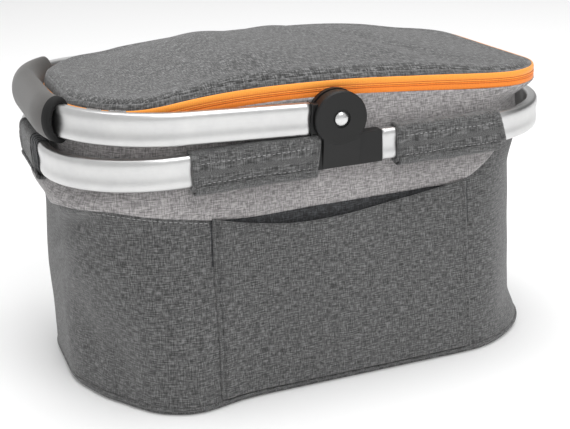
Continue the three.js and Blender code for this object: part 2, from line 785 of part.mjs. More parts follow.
function bagGroup() {
  const group = new THREE.Group();
  group.add(makeMesh('base_panel', basePanel(), 'darkCloth', 'cloth'));
  group.add(makeMesh('base_board', baseBoard(), 'board', 'plastic'));
  group.add(makeMesh('bottom_piping', bottomPiping(), 'darkCloth', 'cloth'));
  group.add(makeMesh('bag_lower_shell', lowerShell(), 'darkCloth', 'cloth'));
  group.add(makeMesh('bag_upper_band', upperBand(), 'lightCloth', 'cloth'));
  group.add(makeMesh('bag_lining', bagLining(), 'lining', 'cloth'));
  group.add(makeMesh('front_pocket', frontPocket(), 'darkCloth', 'cloth'));
  group.add(makeMesh('hinge_cloth_lower', hingeCloth(), 'darkCloth', 'cloth'));
  for (const [name, [side, from, to]] of Object.entries(RIM_LOOPS)) {
    group.add(makeMesh(name, rimLoop(side, from, to), 'darkCloth', 'cloth'));
  }
  return group;
}

function lidGroup() {
  const group = new THREE.Group();
  group.add(makeMesh('zip_tape_upper', zipTape(1), 'orange', 'cloth'));
  group.add(makeMesh('lid_border', lidBorder(), 'darkCloth', 'cloth'));
  group.add(makeMesh('lid_top', lidTop(), 'darkCloth', 'cloth'));
  return group;
}

function zipGroup() {
  const group = new THREE.Group();
  group.add(makeMesh('zip_tape_lower', zipTape(-1), 'orange', 'cloth'));
  for (const [label, degrees] of Object.entries(SLIDER_ANGLES)) {
    const angle = THREE.MathUtils.degToRad(degrees);
    const place = new THREE.Group();
    place.position.set(
      ZIP_TRACK.radius - ZIP_TRACK.halfLength + ZIP_TRACK.radius * Math.cos(angle),
      ZIP_TRACK.radius - ZIP_TRACK.halfDepth + ZIP_TRACK.radius * Math.sin(angle),
      ZIP.z,
    );
    place.rotation.z = angle;
    place.add(makeMesh(`zip_slider_${label}`, zipSlider(), 'steel', 'metal'));
    place.add(makeMesh(`zip_pull_${label}`, zipPull(), 'steel', 'metal'));
    group.add(place);
  }
  return group;
}

function adapterGroup() {
  const group = new THREE.Group();
  group.add(makeMesh('adapter_plate', adapterPlate(), 'plastic', 'plastic'));
  group.add(makeMesh('adapter_backing_plate', backingPlate(), 'board', 'plastic'));
  screwPlaces().forEach((place, index) => {
    group.add(makeMesh(`adapter_screw_${index + 1}`, adapterScrew(place), 'steel', 'metal'));
    group.add(makeMesh(`adapter_nut_${index + 1}`, adapterNut(place), 'steel', 'metal'));
  });
  return group;
}

const group = new THREE.Group();
group.add(frameGroup());
group.add(handleGroup());
group.add(bagGroup());
group.add(zipGroup());
group.add(lidGroup());
group.add(adapterGroup());

export default group;
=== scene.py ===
"""Looks of the handlebar basket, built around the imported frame.

Lengths are metres. +X runs along the long side, +Y towards the handlebar, +Z up. Cloth walls, lid,
zip, loops and bars are modelled here; brackets, rivets, adapter and zip sliders stay CAD nodes.
"""

import json
import math
import bmesh
import bpy
import numpy as np
from mathutils import Matrix, Vector, noise


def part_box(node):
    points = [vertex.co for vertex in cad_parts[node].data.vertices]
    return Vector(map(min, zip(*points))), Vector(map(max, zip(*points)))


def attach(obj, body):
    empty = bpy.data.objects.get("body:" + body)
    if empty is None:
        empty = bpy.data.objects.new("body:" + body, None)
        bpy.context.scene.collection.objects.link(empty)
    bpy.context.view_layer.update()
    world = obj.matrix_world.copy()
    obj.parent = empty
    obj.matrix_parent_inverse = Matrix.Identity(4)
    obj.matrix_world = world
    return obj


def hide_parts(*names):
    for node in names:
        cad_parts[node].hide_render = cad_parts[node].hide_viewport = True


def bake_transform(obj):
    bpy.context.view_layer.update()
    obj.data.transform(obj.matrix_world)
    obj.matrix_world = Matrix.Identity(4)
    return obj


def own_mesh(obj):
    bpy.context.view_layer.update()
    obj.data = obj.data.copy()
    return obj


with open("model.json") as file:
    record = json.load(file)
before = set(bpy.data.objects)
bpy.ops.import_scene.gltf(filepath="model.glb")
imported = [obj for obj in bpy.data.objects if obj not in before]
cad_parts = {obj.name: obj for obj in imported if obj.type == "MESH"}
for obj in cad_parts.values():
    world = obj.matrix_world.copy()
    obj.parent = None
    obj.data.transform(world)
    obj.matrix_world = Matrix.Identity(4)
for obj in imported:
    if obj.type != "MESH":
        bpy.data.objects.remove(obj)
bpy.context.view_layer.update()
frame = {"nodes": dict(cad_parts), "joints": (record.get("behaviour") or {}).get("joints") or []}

MM = 0.001
SEED = 7

# ---- driving sizes, worked out from the frame where it has them ----

RIM_LOW, RIM_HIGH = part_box("rim_left_half")
BAR_HEIGHT = RIM_HIGH.z - RIM_LOW.z
RIM_Z = (RIM_HIGH.z + RIM_LOW.z) / 2
RIM_HALF_LENGTH = -RIM_LOW.x
RIM_HALF_DEPTH = RIM_HIGH.y
RIM_RADIUS = 77 * MM
BAR_THICKNESS = 9 * MM
BLOCK_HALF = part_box("rim_right_half")[0].x - 0.3 * MM

JOINTS = {joint["name"]: joint for joint in frame["joints"]}
PIVOT_Z = JOINTS["handle_swing"]["pos_m"][2]
HANDLE_TILT = 0.05
HANDLE_HALF_LENGTH = 182 * MM
HANDLE_END = 20.4 * MM

BAG_RADIUS = 70 * MM
ZIP_HALF_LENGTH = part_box("lid_border")[1].x
ZIP_HALF_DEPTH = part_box("lid_border")[1].y
ZIP_BACK_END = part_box("hinge_cloth_lower")[1].x + 1 * MM
ZIP_HALF_HEIGHT = 5.2 * MM
HINGE = Vector(JOINTS["lid_hinge"]["pos_m"])

# The zip's right-hand end is fuller than its left-hand end: its reach and its corners' radii.
ZIP_RIGHT_LENGTH = 172.5 * MM
ZIP_RIGHT_FRONT_RADIUS = 42 * MM
ZIP_RIGHT_BACK_RADIUS = 52 * MM

# Height, half length and half depth of the outer wall.
BAG_PROFILE = np.array([
    [0.0, 175.0, 100.0],
    [60.0, 173.0, 99.2],
    [131.0, 171.0, 98.6],
    [165.0, 170.5, 98.0],
    [200.0, 166.8, 97.2],
    [215.0, 166.5, 97.0],
]) * MM

# The middle of the zip, as (place along X, height): highest near the middle, low at both ends.
ZIP_FRONT = np.array([
    [-167, 202.5], [-130, 203], [-98, 207.5], [0, 209.5], [70, 205], [130, 200.5], [172, 199.5],
]) * MM
ZIP_BACK = np.array([
    [-167, 199], [-130, 200], [-100, 204], [-60, 206], [60, 206], [108, 204], [144, 200], [165, 199.5],
]) * MM
HINGE_ZIP_Z = 206 * MM

# Lower edge of the light band, as (distance round the wall from the front's middle, height): level
# along the front, with a rise at each front corner.
BAND_EDGE = np.array([
    [-330, 131], [-243, 133], [-178, 144.5], [-150, 143.5], [-126, 139], [-94, 133], [0, 131.5],
    [70, 131.5], [102, 133], [121, 143], [145, 158], [170, 162], [205, 157], [243, 140], [330, 131],
]) * MM

POCKET_LEFT = -91 * MM
POCKET_RIGHT = 104 * MM
# The pocket's lip, as (place along X, height): it sags left of the middle.
POCKET_LIP = np.array([
    [-91, 133.5], [-65, 127.5], [-35, 123], [0, 123], [50, 127.5], [104, 133.5],
]) * MM

# ---- meshes ----

def make_object(name, points, faces, uv=None, smooth=True):
    """A mesh object from points and faces, with an optional (u, v) in metres for each point."""
    mesh = bpy.data.meshes.new(name)
    mesh.from_pydata([tuple(p) for p in points], [], [tuple(f) for f in faces])
    mesh.validate()
    if uv is not None:
        layer = mesh.uv_layers.new(name="weave")
        loop_vertices = np.empty(len(mesh.loops), dtype=np.int64)
        mesh.loops.foreach_get("vertex_index", loop_vertices)
        layer.data.foreach_set("uv", np.asarray(uv, dtype=np.float32)[loop_vertices].ravel())
    if smooth:
        mesh.polygons.foreach_set("use_smooth", [True] * len(mesh.polygons))
    mesh.update()
    obj = bpy.data.objects.new(name, mesh)
    bpy.context.scene.collection.objects.link(obj)
    return obj


def grid_faces(rows, columns, wrap=False, offset=0, flip=False):
    """Quads of a rows x columns grid of points; wrap joins the last column to the first."""
    faces = []
    for i in range(rows - 1):
        for j in range(columns if wrap else columns - 1):
            k = (j + 1) % columns
            quad = (i * columns + j, i * columns + k, (i + 1) * columns + k, (i + 1) * columns + j)
            quad = tuple(offset + q for q in quad)
            faces.append(quad[::-1] if flip else quad)
    return faces


def ramp(value, low, high):
    """0 below low, 1 above high, smooth between."""
    t = np.clip((value - low) / (high - low), 0, 1)
    return t * t * (3 - 2 * t)


def bump(value, centre, width):
    return np.exp(-(((value - centre) / width) ** 2))


def xyz(x, y, z):
    """Points from three coordinates, each a grid or one number."""
    return np.stack(np.broadcast_arrays(x, y, z), axis=-1)


def distances(points):
    """How far each point of a line is from its start, along the line."""
    return np.concatenate([[0], np.cumsum(np.linalg.norm(np.diff(points, axis=0), axis=1))])


def cloth_grid(along, across):
    """Places on the cloth, as (u, v), for every pair of the two distances."""
    return np.stack(np.meshgrid(along, across, indexing="ij"), axis=-1)


def carried(section, centres, outs, ups):
    """A section, as rows of (outward, upward), set at each place of a path."""
    outward = section[None, :, 0, None] * outs[:, None, :]
    upward = section[None, :, 1, None] * ups[:, None, :]
    return centres[:, None, :] + outward + upward


def smooth_noise(points, scale, seed=0):
    """Soft noise from -1 to 1 at each point; scale is its wavelength in metres."""
    shift = Vector((seed * 13.7 + SEED, seed * 5.1, seed * 9.3))
    flat = np.asarray(points).reshape(-1, 3)
    values = [noise.noise(Vector(p) / scale + shift) for p in flat]
    return np.array(values).reshape(np.asarray(points).shape[:-1])


# ---- rounded-rectangle tracks ----

class Track:
    """A rounded rectangle walked anticlockwise (from above) from the middle of its back side."""

    def __init__(self, half_length, half_depth, radius):
        self.a = half_length
        self.b = half_depth
        self.r = radius
        side = half_length - radius
        end = 2 * (half_depth - radius)
        arc = math.pi * radius / 2
        self.lengths = np.array([side, arc, end, arc, 2 * side, arc, end, arc, side])
        self.ends = np.cumsum(self.lengths)
        self.length = self.ends[-1]

    def front(self, x):
        return self.length / 2 + x

    def back(self, x):
        return -x % self.length

    def left(self, y):
        return self.ends[1] + (self.b - self.r) - y

    def right(self, y):
        return self.length - self.left(y)

    def pieces(self, s):
        """Which of the nine stretches each distance falls in, and how far along it."""
        s = np.asarray(s, dtype=float) % self.length
        index = np.clip(np.searchsorted(self.ends, s, side="right"), 0, 8)
        start = self.ends[index] - self.lengths[index]
        return index, (s - start) / self.lengths[index]

    def at(self, s):
        """Points and outward normals on the track itself."""
        return place(*self.pieces(s), self.a, self.b, self.r)


def place(index, share, a, b, r):
    """Points and outward normals of a track of size a, b, r at given stretches and shares."""
    index, share, a, b, r = np.broadcast_arrays(index, share, a, b, r)
    cx, cy = a - r, b - r
    x, y, nx, ny = np.zeros((4, *index.shape))
    straights = {
        0: (0 * cx, b, -cx, b, 0, 1),
        2: (-a, cy, -a, -cy, -1, 0),
        4: (-cx, -b, cx, -b, 0, -1),
        6: (a, -cy, a, cy, 1, 0),
        8: (cx, b, 0 * cx, b, 0, 1),
    }
    for k, (x0, y0, x1, y1, nx_k, ny_k) in straights.items():
        on = index == k
        x[on] = (x0 + (x1 - x0) * share)[on]
        y[on] = (y0 + (y1 - y0) * share)[on]
        nx[on] = nx_k
        ny[on] = ny_k
    arcs = {1: (-1, 1, 90), 3: (-1, -1, 180), 5: (1, -1, 270), 7: (1, 1, 0)}
    for k, (sx, sy, start) in arcs.items():
        on = index == k
        angle = np.radians(start + 90 * share)
        x[on] = (sx * cx + r * np.cos(angle))[on]
        y[on] = (sy * cy + r * np.sin(angle))[on]
        nx[on] = np.cos(angle)[on]
        ny[on] = np.sin(angle)[on]
    return x, y, nx, ny


BAG_TRACK = Track(BAG_PROFILE[0, 1], BAG_PROFILE[0, 2], BAG_RADIUS)
ZIP_TRACK = Track(ZIP_HALF_LENGTH, ZIP_HALF_DEPTH, BAG_RADIUS)


def curve(x, places):
    """A smooth curve through rows of (place, value)."""
    xs, zs = places[:, 0], places[:, 1]
    slopes = np.gradient(zs, xs)
    k = np.clip(np.searchsorted(xs, x) - 1, 0, len(xs) - 2)
    h = xs[k + 1] - xs[k]
    t = np.clip((x - xs[k]) / h, 0, 1)
    start = (1 + 2 * t) * (1 - t) ** 2 * zs[k] + t * (1 - t) ** 2 * h * slopes[k]
    return start + t**2 * (3 - 2 * t) * zs[k + 1] + t**2 * (t - 1) * h * slopes[k + 1]


def zip_height(x, y):
    front, back = curve(x, ZIP_FRONT), curve(x, ZIP_BACK)
    return front + (back - front) * ramp(y, -ZIP_HALF_DEPTH * 0.75, ZIP_HALF_DEPTH * 0.55)


def band_edge(s):
    """Height of the band's lower edge at each distance round the wall."""
    return curve(np.clip(s - BAG_TRACK.length / 2, BAND_EDGE[0, 0], BAND_EDGE[-1, 0]), BAND_EDGE)


def zip_outline_gap(x, y):
    """Distance of a place from the zip's outline as seen from above, negative inside it."""
    reach = np.where(x < 0, ZIP_HALF_LENGTH, ZIP_RIGHT_LENGTH)
    right_radius = np.where(y < 0, ZIP_RIGHT_FRONT_RADIUS, ZIP_RIGHT_BACK_RADIUS)
    radius = np.where(x < 0, BAG_RADIUS, right_radius)
    past_x = np.abs(x) - (reach - radius)
    past_y = np.abs(y) - (ZIP_HALF_DEPTH - radius)
    outside = np.hypot(np.maximum(past_x, 0), np.maximum(past_y, 0))
    return outside + np.minimum(np.maximum(past_x, past_y), 0) - radius


def zip_fullness(x, y, nx, ny):
    """How far the zip's outline lies outside the even track, along the track's normal."""
    reach = np.zeros(np.shape(x))
    for _ in range(30):
        reach = reach - zip_outline_gap(x + nx * reach, y + ny * reach)
    return reach


def wall_size(z):
    """Half length and half depth of the wall at a height."""
    return [np.interp(z, BAG_PROFILE[:, 0], BAG_PROFILE[:, column]) for column in (1, 2)]


def front_left_corner(x, y):
    return ramp(-x, 126 * MM, 162 * MM) * ramp(-y, 15 * MM, 55 * MM)


def foot_bulge(x, y):
    """How far the wall's foot stands out: full along the front, rounder at the front left."""
    front = 3.4 * ramp(-y, 60 * MM, 98 * MM) * (1 - ramp(np.abs(x + 10 * MM), 105 * MM, 160 * MM))
    front += 7.0 * bump(x, -104 * MM, 24 * MM) * ramp(-y, 70 * MM, 95 * MM)
    corner = -6.5 * front_left_corner(x, y)
    return (front + corner) * MM


def wall_folds(points):
    """How far the cloth wall stands out from its smooth shape."""
    x, y, z = points[..., 0], points[..., 1], points[..., 2]
    stretched = points * np.array([1.0, 1.0, 0.55])
    soft = 1.1 * smooth_noise(stretched, 0.07, 1) + 0.5 * smooth_noise(points, 0.03, 2)
    free = ramp(z, 4 * MM, 45 * MM)
    left = ramp(-x, 95 * MM, 165 * MM)
    # The left end stands out, most of all just under the rim.
    bulge = left * (3.2 * bump(z, 78 * MM, 62 * MM) + 9.0 * bump(z, 145.5 * MM, 12 * MM))
    # Slanting creases on the left end, where the wall sags under the rim.
    creases = np.zeros(x.shape)
    for height, depth, slope, width in ((121, 2.6, 0.55, 5), (99, 2.0, 0.5, 6), (72, 1.3, 0.4, 9)):
        line = z - height * MM + slope * (y + 40 * MM)
        creases -= depth * bump(line, 0, width * MM) * bump(y, -45 * MM, 45 * MM)
        creases += 0.8 * depth * bump(line, 2.0 * width * MM, width * MM) * bump(y, -45 * MM, 45 * MM)
    right = ramp(x, 120 * MM, 165 * MM) * ramp(z, 4 * MM, 28 * MM) * (1 - ramp(z, 128 * MM, 158 * MM))
    # The front left corner is hollow above its foot.
    hollow = 6.0 * front_left_corner(x, y) * bump(z, 42 * MM, 30 * MM)
    # Shallow upright folds along the front, under the band.
    upright = 0.7 * smooth_noise(points * np.array([1.0, 1.0, 0.12]), 0.032, 4) * ramp(z, 30 * MM, 110 * MM)
    # Pull folds in the band, where the rim holds it.
    band = bump(z, 188 * MM, 9 * MM) * 0.8 * smooth_noise(points * np.array([0.6, 1.0, 2.0]), 0.03, 6)
    # The band lies flat where the zip's sliders run and their pulls hang.
    flat = ramp(z, 176 * MM, 188 * MM) * ramp(-x, 64 * MM, 88 * MM) * ramp(-y, -20 * MM, 20 * MM)
    folds = (soft + upright) * free + band + creases * left + bulge - 6.0 * right - hollow
    folds = folds * (1 - flat) - 1.0 * flat
    return folds * MM + foot_bulge(x, y) * (1 - ramp(z, 30 * MM, 120 * MM))


def wall_surface(s_values, heights, lift=0.0):
    """Points of the bag's outer wall for each distance round it and each height."""
    index, share = BAG_TRACK.pieces(s_values)
    x, y, nx, ny = place(index, share, *wall_size(heights), BAG_RADIUS)
    points = xyz(x, y, heights)
    out = xyz(nx, ny, 0.0)
    flare = zip_fullness(x, y, nx, ny) * ramp(heights, 181 * MM, 196 * MM)
    return points + out * np.expand_dims(lift + flare + wall_folds(points), -1), out


def turn_faces_out(obj, weld=False):
    """Turns every face of a closed body to point out, after joining the points that meet."""
    work = bmesh.new()
    work.from_mesh(obj.data)
    if weld:
        bmesh.ops.remove_doubles(work, verts=work.verts, dist=0.02 * MM)
        bmesh.ops.dissolve_degenerate(work, edges=work.edges, dist=0.005 * MM)
    bmesh.ops.recalc_face_normals(work, faces=work.faces)
    work.to_mesh(obj.data)
    work.free()
    return obj


def from_above(points):
    """Places on the cloth of a piece that lies flat."""
    return points[:, :2]


def closed_shell(name, outer, inner, uv, wrap=True, joined=(0, -1), capped=(), weld=False):
    """One closed body from an outer and an inner grid of the same shape.

    The grids are joined along some rows, and each is capped at others. uv holds the places on the
    cloth for one grid, or is a function that gives them for all points.
    """
    rows, columns = outer.shape[:2]
    size = rows * columns
    points = np.concatenate([outer.reshape(-1, 3), inner.reshape(-1, 3)])
    faces = grid_faces(rows, columns, wrap)
    faces += grid_faces(rows, columns, wrap, offset=size, flip=True)
    edges = []
    for row in joined:
        first = row % rows * columns
        edges += [(first + j, first + (j + 1) % columns) for j in range(columns if wrap else columns - 1)]
    for column in () if wrap else (0, columns - 1):
        edges += [(i * columns + column, (i + 1) * columns + column) for i in range(rows - 1)]
    faces += [(a, b, b + size, a + size) for a, b in edges]
    for row in capped:
        first = row % rows * columns
        faces += [tuple(range(start, start + columns)) for start in (first, first + size)]
    flat_uv = uv(points) if callable(uv) else np.concatenate([uv.reshape(-1, 2)] * 2)
    return turn_faces_out(make_object(name, points, faces, flat_uv), weld)


def capped_tube(name, grid, uv):
    """A closed body from a grid of rings, with a face over the first and the last."""
    rings, count = grid.shape[:2]
    last = (rings - 1) * count
    faces = grid_faces(rings, count, wrap=True)
    faces += [tuple(range(count))[::-1], tuple(range(last, last + count))]
    return turn_faces_out(make_object(name, grid.reshape(-1, 3), faces, uv.reshape(-1, 2)))


def sweep(name, section, centres, outs, ups, around=None):
    """A closed bar: a section carried along a path, with its weave's places round the section."""
    if around is None:
        around = distances(np.vstack([section, section[:1]]))[:-1]
    return capped_tube(name, carried(section, centres, outs, ups), cloth_grid(distances(centres), around))


# ---- materials ----

SHADER_INPUTS = {
    "colour": "Base Color",
    "roughness": "Roughness",
    "normal": "Normal",
    "metallic": "Metallic",
    "specular": "Specular IOR Level",
    "sheen": "Sheen Weight",
    "sheen_roughness": "Sheen Roughness",
}


class Nodes:
    """Short calls for building a material's node tree."""

    def __init__(self, name):
        self.material = bpy.data.materials.new(name)
        self.material.use_nodes = True
        self.tree = self.material.node_tree
        self.shader = self.tree.nodes["Principled BSDF"]

    def put(self, value, socket):
        """Gives a socket a number or a colour, or links another socket to it."""
        if isinstance(value, (int, float, tuple)):
            socket.default_value = value
        else:
            self.tree.links.new(value, socket)

    def add(self, kind, inputs=None, **settings):
        """A node with its settings, and with values or links for its inputs."""
        node = self.tree.nodes.new(kind)
        for key, value in settings.items():
            setattr(node, key, value)
        for key, value in (inputs or {}).items():
            self.put(value, node.inputs[key])
        return node

    def weave_uv(self):
        return self.add("ShaderNodeUVMap", uv_map="weave").outputs["UV"]

    def position(self):
        return self.add("ShaderNodeTexCoord").outputs["Object"]

    def scaled(self, vector, scale):
        return self.add("ShaderNodeMapping", {"Scale": scale, "Vector": vector}).outputs["Vector"]

    def noise(self, vector, scale, detail=2.0, roughness=0.5):
        inputs = {"Scale": scale, "Detail": detail, "Roughness": roughness, "Vector": vector}
        return self.add("ShaderNodeTexNoise", inputs).outputs["Fac"]

    def wave(self, vector, direction, scale, distortion):
        inputs = {"Scale": scale, "Distortion": distortion, "Vector": vector}
        node = self.add("ShaderNodeTexWave", inputs, wave_type="BANDS", bands_direction=direction)
        return node.outputs["Fac"]

    def math(self, operation, a, b):
        return self.add("ShaderNodeMath", {0: a, 1: b}, operation=operation).outputs["Value"]

    def scale_add(self, value, factor, plus):
        return self.math("ADD", self.math("MULTIPLY", value, factor), plus)

    def colours(self, value, stops):
        node = self.add("ShaderNodeValToRGB", {"Fac": value})
        elements = node.color_ramp.elements
        while len(elements) < len(stops):
            elements.new(0.5)
        for element, (place_on_ramp, colour) in zip(elements, stops):
            element.position = place_on_ramp
            element.color = (*colour, 1.0)
        return node.outputs["Color"]

    def two_tone(self, value, low, high):
        return self.colours(value, [(0.3, low), (0.7, high)])

    def bumped(self, height, distance, strength):
        inputs = {"Strength": strength, "Distance": distance, "Height": height}
        return self.add("ShaderNodeBump", inputs).outputs["Normal"]

    def finish(self, **inputs):
        for name, value in inputs.items():
            self.put(value, self.shader.inputs[SHADER_INPUTS[name]])
        return self.material


def grey(value, tint=(1.0, 1.0, 1.0)):
    return tuple(value * t for t in tint)


def melange_cloth(name, dark, middle, light, tint=(1.0, 1.0, 1.0), fineness=1250.0):
    """Woven cloth of mottled yarn: thin streaks both ways, a weave bump and soft tone changes."""
    n = Nodes(name)
    uv = n.weave_uv()
    weft = n.noise(n.scaled(uv, (170.0, fineness, 1.0)), 1.0, 2.0, 0.55)
    warp = n.noise(n.scaled(uv, (fineness, 210.0, 1.0)), 1.0, 2.0, 0.55)
    fine = n.noise(uv, 2400.0, 1.0)
    streaks = n.scale_add(weft, 0.46, n.math("MULTIPLY", warp, 0.40))
    mottled = n.scale_add(fine, 0.14, streaks)
    stops = zip((0.40, 0.5, 0.60), (dark, middle, light))
    yarn = n.colours(mottled, [(stop, grey(value, tint)) for stop, value in stops])
    shade = n.scale_add(n.noise(n.position(), 14.0, 3.0), 0.22, 0.89)
    shaded = n.add("ShaderNodeVectorMath", {0: yarn, "Scale": shade}, operation="SCALE")
    weave = n.math("MULTIPLY", n.wave(uv, "X", 420.0, 1.5), n.wave(uv, "Y", 420.0, 1.5))
    normal = n.bumped(n.scale_add(weave, 0.5, mottled), 0.25 * MM, 0.7)
    roughness = n.scale_add(fine, 0.12, 0.84)
    return n.finish(
        colour=shaded.outputs[0], roughness=roughness, normal=normal,
        sheen=0.25, sheen_roughness=0.6, specular=0.25,
    )


def zip_cloth(name, base, deep):
    """Ribbed orange tape."""
    n = Nodes(name)
    uv = n.weave_uv()
    yarn = n.noise(n.scaled(uv, (900.0, 2600.0, 1.0)), 1.0)
    mixed = n.scale_add(n.wave(uv, "X", 260.0, 0.4), 0.14, n.math("MULTIPLY", yarn, 0.86))
    colour = n.colours(mixed, [(0.25, deep), (0.55, base), (0.8, tuple(1.12 * c for c in base))])
    normal = n.bumped(mixed, 0.15 * MM, 0.6)
    return n.finish(colour=colour, roughness=0.62, normal=normal, sheen=0.2, specular=0.35)


def anodised_bar():
    """Satin aluminium with fine drawing lines along the bar and faint handling marks."""
    n = Nodes("anodised_bar")
    lines = n.noise(n.scaled(n.weave_uv(), (12.0, 3200.0, 1.0)), 1.0)
    marks = n.noise(n.position(), 60.0, 4.0, 0.65)
    colour = n.two_tone(marks, grey(0.60), grey(0.67, (1, 1, 0.99)))
    roughness = n.math("ADD", n.scale_add(lines, 0.16, n.math("MULTIPLY", marks, 0.1)), 0.2)
    normal = n.bumped(lines, 0.02 * MM, 0.35)
    return n.finish(colour=colour, roughness=roughness, normal=normal, metallic=1.0)


def moulded_plastic(name, value, roughness=0.42):
    """Black plastic with a fine moulded grain."""
    n = Nodes(name)
    grain = n.noise(n.position(), 1500.0)
    smudge = n.noise(n.position(), 40.0, 3.0)
    colour = n.two_tone(smudge, grey(value * 0.85), grey(value * 1.2))
    rough = n.scale_add(smudge, 0.12, roughness)
    return n.finish(colour=colour, roughness=rough, normal=n.bumped(grain, 0.08 * MM, 0.35), specular=0.36)


def foam_rubber():
    """Closed-cell foam: matt, warm dark grey, with fine pores."""
    n = Nodes("foam_rubber")
    cells = n.add("ShaderNodeTexVoronoi", {"Scale": 1400.0, "Vector": n.position()})
    rubbed = n.noise(n.position(), 32.0, 4.0, 0.6)
    return n.finish(
        colour=n.two_tone(rubbed, (0.05, 0.047, 0.044), (0.08, 0.075, 0.07)),
        roughness=n.scale_add(rubbed, 0.15, 0.5),
        normal=n.bumped(cells.outputs["Distance"], 0.12 * MM, 0.4),
        sheen=0.22, sheen_roughness=0.5, specular=0.3,
    )


def bright_steel():
    """Polished steel with fine scratches."""
    n = Nodes("bright_steel")
    scratches = n.noise(n.scaled(n.position(), (300.0, 300.0, 2500.0)), 1.0)
    colour = n.two_tone(scratches, grey(0.6), grey(0.72))
    rough = n.scale_add(scratches, 0.2, 0.16)
    return n.finish(colour=colour, roughness=rough, normal=n.bumped(scratches, 0.02 * MM, 0.3), metallic=1.0)


def lining_cloth():
    """Coated lining: plain weave with a dull shine."""
    n = Nodes("lining_cloth")
    weave = n.noise(n.scaled(n.weave_uv(), (1500.0, 1500.0, 1.0)), 1.0, 1.0)
    colour = n.two_tone(n.noise(n.position(), 20.0, 3.0), grey(0.025), grey(0.045))
    rough = n.scale_add(weave, 0.15, 0.5)
    return n.finish(colour=colour, roughness=rough, normal=n.bumped(weave, 0.1 * MM, 0.5))


def sewing_thread(name, value):
    n = Nodes(name)
    twist = n.noise(n.position(), 1800.0, 1.0)
    colour = n.two_tone(twist, grey(value * 0.7), grey(value * 1.15))
    return n.finish(colour=colour, roughness=0.7, normal=n.bumped(twist, 0.05 * MM, 0.5))


DARK_CLOTH = melange_cloth("dark_cloth", 0.022, 0.075, 0.175)
LID_CLOTH = melange_cloth("lid_cloth", 0.011, 0.055, 0.215, fineness=1100.0)
LIGHT_CLOTH = melange_cloth("light_cloth", 0.15, 0.29, 0.47, (1.0, 0.955, 0.955))
# Painted shade: a darker, cooler copy of the wall cloth for cloth that lies in shadow.
PAINTED_SHADE_CLOTH = melange_cloth("painted_shade_cloth", 0.008, 0.026, 0.07, (0.96, 1.0, 1.08))
ORANGE = zip_cloth("orange_tape", (0.95, 0.35, 0.045), (0.82, 0.26, 0.03))
# Painted shade: a deeper copy of the same tape, for the bag's lower half of the zip, shaded below the lid's
# half.
ORANGE_PAINTED_SHADE = zip_cloth("orange_tape_painted_shade", (0.9, 0.25, 0.022), (0.74, 0.17, 0.012))
ORANGE_COIL = zip_cloth("orange_coil", (0.72, 0.18, 0.02), (0.5, 0.1, 0.01))
ALUMINIUM = anodised_bar()
BLACK_PLASTIC = moulded_plastic("black_plastic", 0.008)
BOARD_PLASTIC = moulded_plastic("board_plastic", 0.02, 0.55)
CUT_FOAM = moulded_plastic("cut_foam", 0.006, 0.7)
FOAM = foam_rubber()
STEEL = bright_steel()
LINING = lining_cloth()
GREY_THREAD = sewing_thread("grey_thread", 0.3)
DARK_THREAD = sewing_thread("dark_thread", 0.09)


SOFT_PIECES = []


def dress(obj, material, body, slot, *nodes, soft=False):
    """Gives a piece its material, body and the CAD nodes it stands for; slot is not used."""
    obj.data.materials.clear()
    obj.data.materials.append(material)
    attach(obj, body)
    if nodes:
        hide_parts(*nodes)
    if soft:
        SOFT_PIECES.append(obj)


def give_way():
    """Gives each soft piece a mesh of its own.
    """
    for piece in SOFT_PIECES:
        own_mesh(piece)


# ---- bars ----

def bar_section(grow=0.0, groove=1.0 * MM, count=64):
    """Outline of the bar as (outward, upward): rounded corners, two lobes outside."""
    angle = np.linspace(0, 2 * np.pi, count, endpoint=False)
    out = np.sign(np.cos(angle)) * np.abs(np.cos(angle)) ** 0.5 * (BAR_THICKNESS / 2 + grow)
    up = np.sign(np.sin(angle)) * np.abs(np.sin(angle)) ** 0.6 * (BAR_HEIGHT / 2 + grow)
    out = out - groove * bump(up, -0.6 * MM, 5.2 * MM) * (out > 0)
    return np.stack([out, up], axis=-1)


def track_path(track, start, end, step=3 * MM):
    """Centres, outward and upward directions along a level track between two distances."""
    s = np.linspace(start, end, max(3, int(abs(end - start) / step)))
    x, y, nx, ny = track.at(s)
    return xyz(x, y, 0.0), xyz(nx, ny, 0.0), np.tile([0.0, 0.0, 1.0], (len(s), 1))


def bar_track(half_length):
    """The middle of a bar that reaches out as far as the rim does at front and back."""
    half = BAR_THICKNESS / 2
    return Track(half_length - half, RIM_HALF_DEPTH - half, RIM_RADIUS - half)


RIM_TRACK = bar_track(RIM_HALF_LENGTH)
HANDLE_TRACK = bar_track(HANDLE_HALF_LENGTH)
TILT = Matrix.Translation((0, 0, PIVOT_Z)) @ Matrix.Rotation(HANDLE_TILT, 4, "Y")


def rim_path(start, end, step=3 * MM):
    centres, outs, ups = track_path(RIM_TRACK, start, end, step)
    centres[:, 2] += RIM_Z
    return centres, outs, ups


def make_rim():
    end = BLOCK_HALF + 0.3 * MM
    halves = {
        "rim_left_half": (RIM_TRACK.back(-end), RIM_TRACK.front(-end)),
        "rim_right_half": (RIM_TRACK.front(end), RIM_TRACK.back(end)),
    }
    for name, (first, last) in halves.items():
        bar = sweep(f"{name}_bar", bar_section(), *rim_path(first, last))
        dress(bar, ALUMINIUM, "basket", "aluminium_bar", name)


def make_handle_bar():
    path = track_path(HANDLE_TRACK, HANDLE_TRACK.back(-HANDLE_END), HANDLE_TRACK.front(-HANDLE_END))
    bar = sweep("handle_bar", bar_section(), *path)
    bar.data.transform(TILT)
    dress(bar, ALUMINIUM, "handle", "aluminium_bar", "handle_tube")


# Reach outward and inward, and half height, of the foam and of its hole.
GRIP_OUTLINE = (11.0, 7.7, 15.2)
GRIP_HOLE = (7.4, 5.0, 11.2)
GRIP_SIDES = 48
# The rounded ends, as (place along the rounding, share of the foam's thickness).
GRIP_ROUNDING = [(0.0, 0.55), (0.5, 0.85), (1.0, 1.0)]


